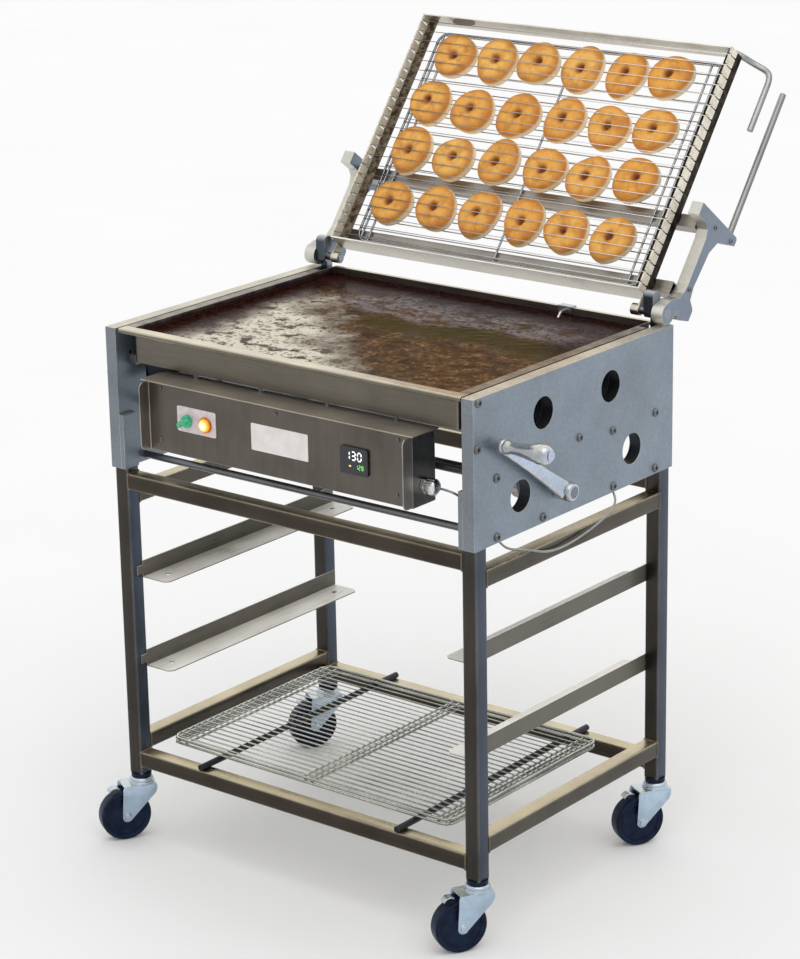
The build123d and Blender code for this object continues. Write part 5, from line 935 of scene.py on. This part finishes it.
PALE_LEVEL, PALE_HALF, HOLE_DARK, HOLE_BLUR, BROWN_FROM, BROWN_WIDE = -1.5, 7.0, 14.5, 7.0, 31.0, 15.0
FIRST_SLOT, SLOT_PITCH, SLOTS = 43.8, 22.2, 23
slot_places = FIRST_SLOT + SLOT_PITCH * np.arange(SLOTS)
rng = np.random.default_rng(11)


def draw(low, high):
    """A random value for each donut."""
    return rng.uniform(low, high, (len(DONUT_MIDDLES), 1, 1))


ring_turn, dough_turn = full_turn(56)[None, :, None], full_turn(36)[None, None, :]
cosine, sine = np.cos(dough_turn), np.sin(dough_turn)
lump = sum(size * np.sin(k * ring_turn + draw(0, 2 * np.pi)) for k, size in LUMPS)
outside = DONUT_R * (1 + lump) * draw(0.97, 1.02)
hole = HOLE_R * draw(0.75, 1.15) * (1 + HOLE_LUMPS * lump)
reach = (outside + hole) / 2 + (outside - hole) / 2 * blunt(cosine, np.where(cosine > 0, 0.80, 0.55))
tall = DONUT_HALF * blunt(sine, np.where(cosine > 0, 0.78, 0.60)) * (1 + SWAY * np.sin(2 * ring_turn + draw(0, 6)))
tall = np.where(tall < 0, np.maximum(tall * FLATTER_BELOW, -THICKEST), np.minimum(tall, THICKEST))
folds = np.sin(7 * ring_turn + draw(0, 6)) + 0.7 * np.sin(11 * ring_turn + draw(0, 6))
tall = tall - FOLD_DEEP * folds * np.exp(-((reach - FOLD_R) / FOLD_WIDE) ** 2) * (sine > 0.0)
lean_x, lean_s = draw(-TILT, TILT), draw(-TILT, TILT)
inward = np.clip((outside - reach) / (outside - hole), 0, 1) ** 1.5
dx = reach * np.cos(ring_turn) + draw(-HOLE_ASIDE, HOLE_ASIDE) * inward
ds = reach * np.sin(ring_turn) * LONGER + draw(-HOLE_ASIDE, HOLE_ASIDE) * inward
middle_x, middle_s = DONUT_MIDDLES.T[..., None, None]
press = np.abs((middle_s + ds)[..., None] - slot_places).min(-1)
dent = np.where(sine > 0.25, DENT_DEEP * np.exp(-(press / DENT_WIDE) ** 2), 0)
rise = np.minimum(tall - dent + (lean_x * dx + lean_s * ds) * (sine > 0.0), HIGHEST)
donut_grid = on_rack(at(middle_x + dx, middle_s + ds, DONUT_LEVEL + rise))
marks = {
    "pale": np.exp(-((tall - PALE_LEVEL) / PALE_HALF) ** 4) * np.clip((cosine + 0.1) * 1.6, 0, 1),
    "crease_shade": np.where(sine > 0.2, np.exp(-(press / CREASE_WIDE) ** 2), 0),
    "tone": draw(0, 1),
    "depth": np.clip((HOLE_DARK - reach) / HOLE_BLUR, 0, 1),
    "brown": np.clip((reach - BROWN_FROM) / BROWN_WIDE, 0, 1) * (sine > 0.05),
}

dough, tree, shader = new_finish("fried_dough")


def mark(name):
    """One of the donuts' own point values."""
    reader = tree.nodes.new("ShaderNodeAttribute")
    reader.attribute_name = name
    return reader.outputs["Fac"]


crumb, wrinkle = speckle(tree, 330.0, detail=4.0), speckle(tree, 95.0)
golden = tinge(mark("tone"), "e8a440", "f2b95a")
golden = tinge(spread(speckle(tree, 38.0, detail=5.0), 0.45, 0.68, 0, 0.8), golden, "c0771f")
golden = tinge(spread(wrinkle, 0.56, 0.72, 0, 0.45), golden, "f2c46c")
golden = tinge(spread(crumb, 0.55, 0.75, 0, 0.3), golden, "f4cd80")
# Painted shade in the wires' dents.
golden = tinge(times(mark("crease_shade"), 0.35), golden, "8a5a1c")
golden = tinge(times(mark("brown"), 0.7), golden, "c0701c")
# Painted shade, deeper into the hole.
golden = tinge(times(mark("depth"), 0.85), golden, "9a5420")
dress(shader, Base_Color=tinge(mark("pale"), golden, "f4e6c4"), Roughness=swing(crumb, 0.48, 0.66))
roughen(shader, plus(wrinkle, times(crumb, 0.3)), 0.0016)
donuts = form("donut_rings", looped(donut_grid), dough, "cradle", "dough", "donuts")
for name, values in marks.items():
    values = np.broadcast_to(values, rise.shape).astype(np.float32)
    donuts.data.attributes.new(name, "FLOAT", "POINT").data.foreach_set("value", values.ravel())

# Hold-down frame, comb walls: folded satin sheet, slotted along the front edge. The teeth are
# painted pale as lit faces, while the foot of the wall is painted dark as shade, darker on the
# right, where the wall's outer face is in shadow.
TEETH_FROM, TEETH_BLUR, KNUCKLE_END, KNUCKLE_BLUR = 0.0094, 0.0002, 0.027, 0.002


def rack_height(tree, way):
    """Distance from the hinge line along a direction, in metres: the dot product less the hinge's own."""
    return reckon("SUBTRACT", arrow("DOT_PRODUCT", place_on(tree), tuple(way)), float(HINGE @ way) * 0.001)


comb_sheet = metal_finish("comb_sheet", "8f887c", "8e8575", "b5ae9f", 0.34, (1, 0.03, 0.03), lean=LEAN, cloud=0.2)
tree, shader, sheet_colour = reopen(comb_sheet)
across_lid, _, _ = parts_of(place_on(tree))
comb_mottle = speckle(tree, 90.0, detail=5.0)
teeth = spread(rack_height(tree, rack_up), TEETH_FROM - TEETH_BLUR, TEETH_FROM + TEETH_BLUR)
knuckle = spread(rack_height(tree, rack_along), KNUCKLE_END - KNUCKLE_BLUR, KNUCKLE_END + KNUCKLE_BLUR, 1, 0)
# Painted shade on the wall's foot, darker on the right side.
right_foot_shade = tinge(spread(comb_mottle, 0.45, 0.65), "1c1710", "40382c")
left_foot_shade = tinge(spread(comb_mottle, 0.4, 0.62), "4a4136", "8c8172")
foot = tinge(knuckle, tinge(reckon("GREATER_THAN", across_lid, 0.0), left_foot_shade, right_foot_shade), sheet_colour)
# Painted light on the upward teeth.
lit_tooth = tinge(spread(comb_mottle, 0.4, 0.7), "efe8d8", "cfc6b4")
dress(shader, Base_Color=tinge(teeth, foot, lit_tooth), Metallic=spread(teeth, 0, 1, 1.0, 0.25))
refinish(comb_sheet, "left_comb", "right_comb")

# Hold-down frame, end walls: the same sheet, bright, without the comb walls' painted shade. The upper wall has a dark
# latch tab under its front edge.
WALL_HALF, WALL_S, WALL_T, WALL_BACK = 373.0, 547.0, 3.0, -10.0
WALL_LINE = np.array(((0, 0.5), (0, 42.5), (0.5, 43), (2.5, 43), (3, 42.5), (3, 0.5), (2.5, 0), (0.5, 0)))
LATCH_X, LATCH_W, LATCH_H, LATCH_LEVELS = -268.0, 56.0, 12.0, np.array((30.4, 32.8))
wall_sheet = metal_finish("wall_sheet", "b5b0a5", "cdc8bc", "f6f1e4", 0.30, (0.03, 1, 1), lean=LEAN, cloud=0.2,
                          metal=0.8)
refinish(wall_sheet, "lid_low_wall")
wall_s, wall_level = WALL_S - WALL_LINE[:, 0], WALL_BACK + WALL_LINE[:, 1]
form("lid_upper_wall", capped(on_rack(at(both_ends * WALL_HALF, wall_s, wall_level))),
     wall_sheet, "lid", "comb", "lid_high_wall")
latch_turn = full_turn(32)
latch_x = LATCH_X + blunt(np.cos(latch_turn), 0.5) * LATCH_W / 2
latch_s = WALL_S - WALL_T - LATCH_H / 2 + blunt(np.sin(latch_turn), 0.6) * LATCH_H / 2
latch_dark = metal_finish("latch_dark", "5e574c", "5e574c", "6f675a", 0.36, (0.1, 1, 1), 300.0, lean=LEAN)
form("latch_tab", capped(on_rack(at(latch_x, latch_s, LATCH_LEVELS[:, None]))), latch_dark, "lid", "comb")

# Hold-down wires: one plated wire to a slot, hooked down over the outside of both walls. They
# are painted dark on the left as shade and left bright on the right.
WIRE_R, WIRE_HALF, WIRE_LEVEL, HOOK_DOWN = 0.8, 377.5, 28.6, 12.0
HOOK = np.array(((-1, HOOK_DOWN), (-1, HOOK_DOWN * 0.5), (-1, 2.6), (-0.9986, 0.9), (-0.9955, 0.0), (-0.985, 0.0),
                 (0, 0.0)))
both_hooks = np.concatenate((HOOK, HOOK[-2::-1] * (-1, 1)))
wire_paths = on_rack(at(both_hooks[:, 0] * WIRE_HALF, slot_places[:, None], WIRE_LEVEL - both_hooks[:, 1]))
bright_rods = metal_finish("hold_down_bright", "e6e5e2", "e2e0dc", "f6f4f0", 0.28, fine=200.0, lean=LEAN, edge=0.0003,
                           metal=0.2)
tree, shader, plated = reopen(bright_rods)
across_lid, _, _ = parts_of(place_on(tree))
# Painted shade: darker towards the left.
dress(shader, Base_Color=tinge(spread(across_lid, -0.3, 0.25, 0.92, 0.0), plated, "50453a"))
form("hold_down_rods", capped(round_bar(wire_paths, WIRE_R, rack_along, sides=8)),
     bright_rods, "lid", "wire", "hold_down_wires")

# Lid handle: one bent bright rod welded along the upper wall, then back and out past the
# plate to the hand.
HANDLE_R, HANDLE_ASIDE = 6.2, (0.3, -0.9, 0.2)
HANDLE_BENDS = np.array((
    (293, 552, 0), (335, 552, 0), (360, 552, -2), (374, 551, -14), (384, 550, -30), (397, 548, -42), (412, 544, -48),
    (423, 536, -48), (428, 522, -48), (428, 500, -48), (428, 450, -48), (428, 414, -48),
))
handle_line = spline_line(on_rack(HANDLE_BENDS), resolution=10)
bright_rod = metal_finish("handle_bright", "85878a", "8c8d8e", "b9b8b4", 0.26, fine=200.0, lean=LEAN)
form("lid_handle_rod", capped(round_bar(handle_line, HANDLE_R, HANDLE_ASIDE, sides=20)),
     bright_rod, "lid", "wire", "lid_handle")

# Floor, light and camera: a pale floor far wider than the stand, even light from all round
# with a broad soft sun above, and the photograph's viewpoint.
FLOOR_HALF = 16.0
floor_mesh = bpy.data.meshes.new("floor")
floor_mesh.from_pydata((np.array(((-1, -1, 0), (1, -1, 0), (1, 1, 0), (-1, 1, 0))) * FLOOR_HALF).tolist(), [],
                       [(0, 1, 2, 3)])
floor = bpy.data.objects.new("floor", floor_mesh)
bpy.context.collection.objects.link(floor)
floor_white, tree, shader = new_finish("floor_white")
dress(shader, Base_Color=tinge(speckle(tree, 1.5), "fbfbfb", "f6f6f6"), Roughness=0.9, Specular_IOR_Level=0.1)
floor_mesh.materials.append(floor_white)

world = bpy.data.worlds.new("studio")
world.use_nodes = True
bpy.context.scene.world = world
backdrop = world.node_tree.nodes["Background"]
backdrop.inputs["Color"].default_value = (1, 1, 1, 1)
backdrop.inputs["Strength"].default_value = 0.92


def stand_at(holder, across, over, towards, place=(0, 0, 0)):
    """Turns an object so that its x, y and z lie along three directions, and sets it at a place, in metres."""
    matrix = np.eye(4)
    matrix[:3] = np.stack((across, over, towards, place), -1)
    holder.matrix_world = Matrix(matrix.tolist())
    bpy.context.collection.objects.link(holder)


overhead = bpy.data.lights.new("overhead", "SUN")
overhead.angle = np.radians(55)
overhead.energy = 0.4
sunward = unit(np.array((0.45, -0.30, 1.0)))
sideways = unit(np.cross(REARWARD, sunward))
stand_at(bpy.data.objects.new("overhead", overhead), sideways, np.cross(sunward, sideways), sunward)

EYE = np.array((3.4313, -4.2279, 2.4842))
EYE_RIGHT, EYE_UP = np.array((0.7871, 0.6168, 0)), np.array((-0.1875, 0.2393, 0.9526))
EYE_BACK = np.array((0.5876, -0.7498, 0.3040))
ROLL_COS, ROLL_SIN = 0.99990, -0.01431
eye = bpy.data.cameras.new("viewpoint")
eye.lens, eye.sensor_width = 111.97, 36.0
eye.shift_x, eye.shift_y = -0.0414, -0.0012
eye_holder = bpy.data.objects.new("viewpoint", eye)
stand_at(eye_holder, ROLL_COS * EYE_RIGHT + ROLL_SIN * EYE_UP, ROLL_COS * EYE_UP - ROLL_SIN * EYE_RIGHT,
         EYE_BACK, EYE)
bpy.context.scene.camera = eye_holder
bpy.context.scene.view_settings.view_transform = "Standard"
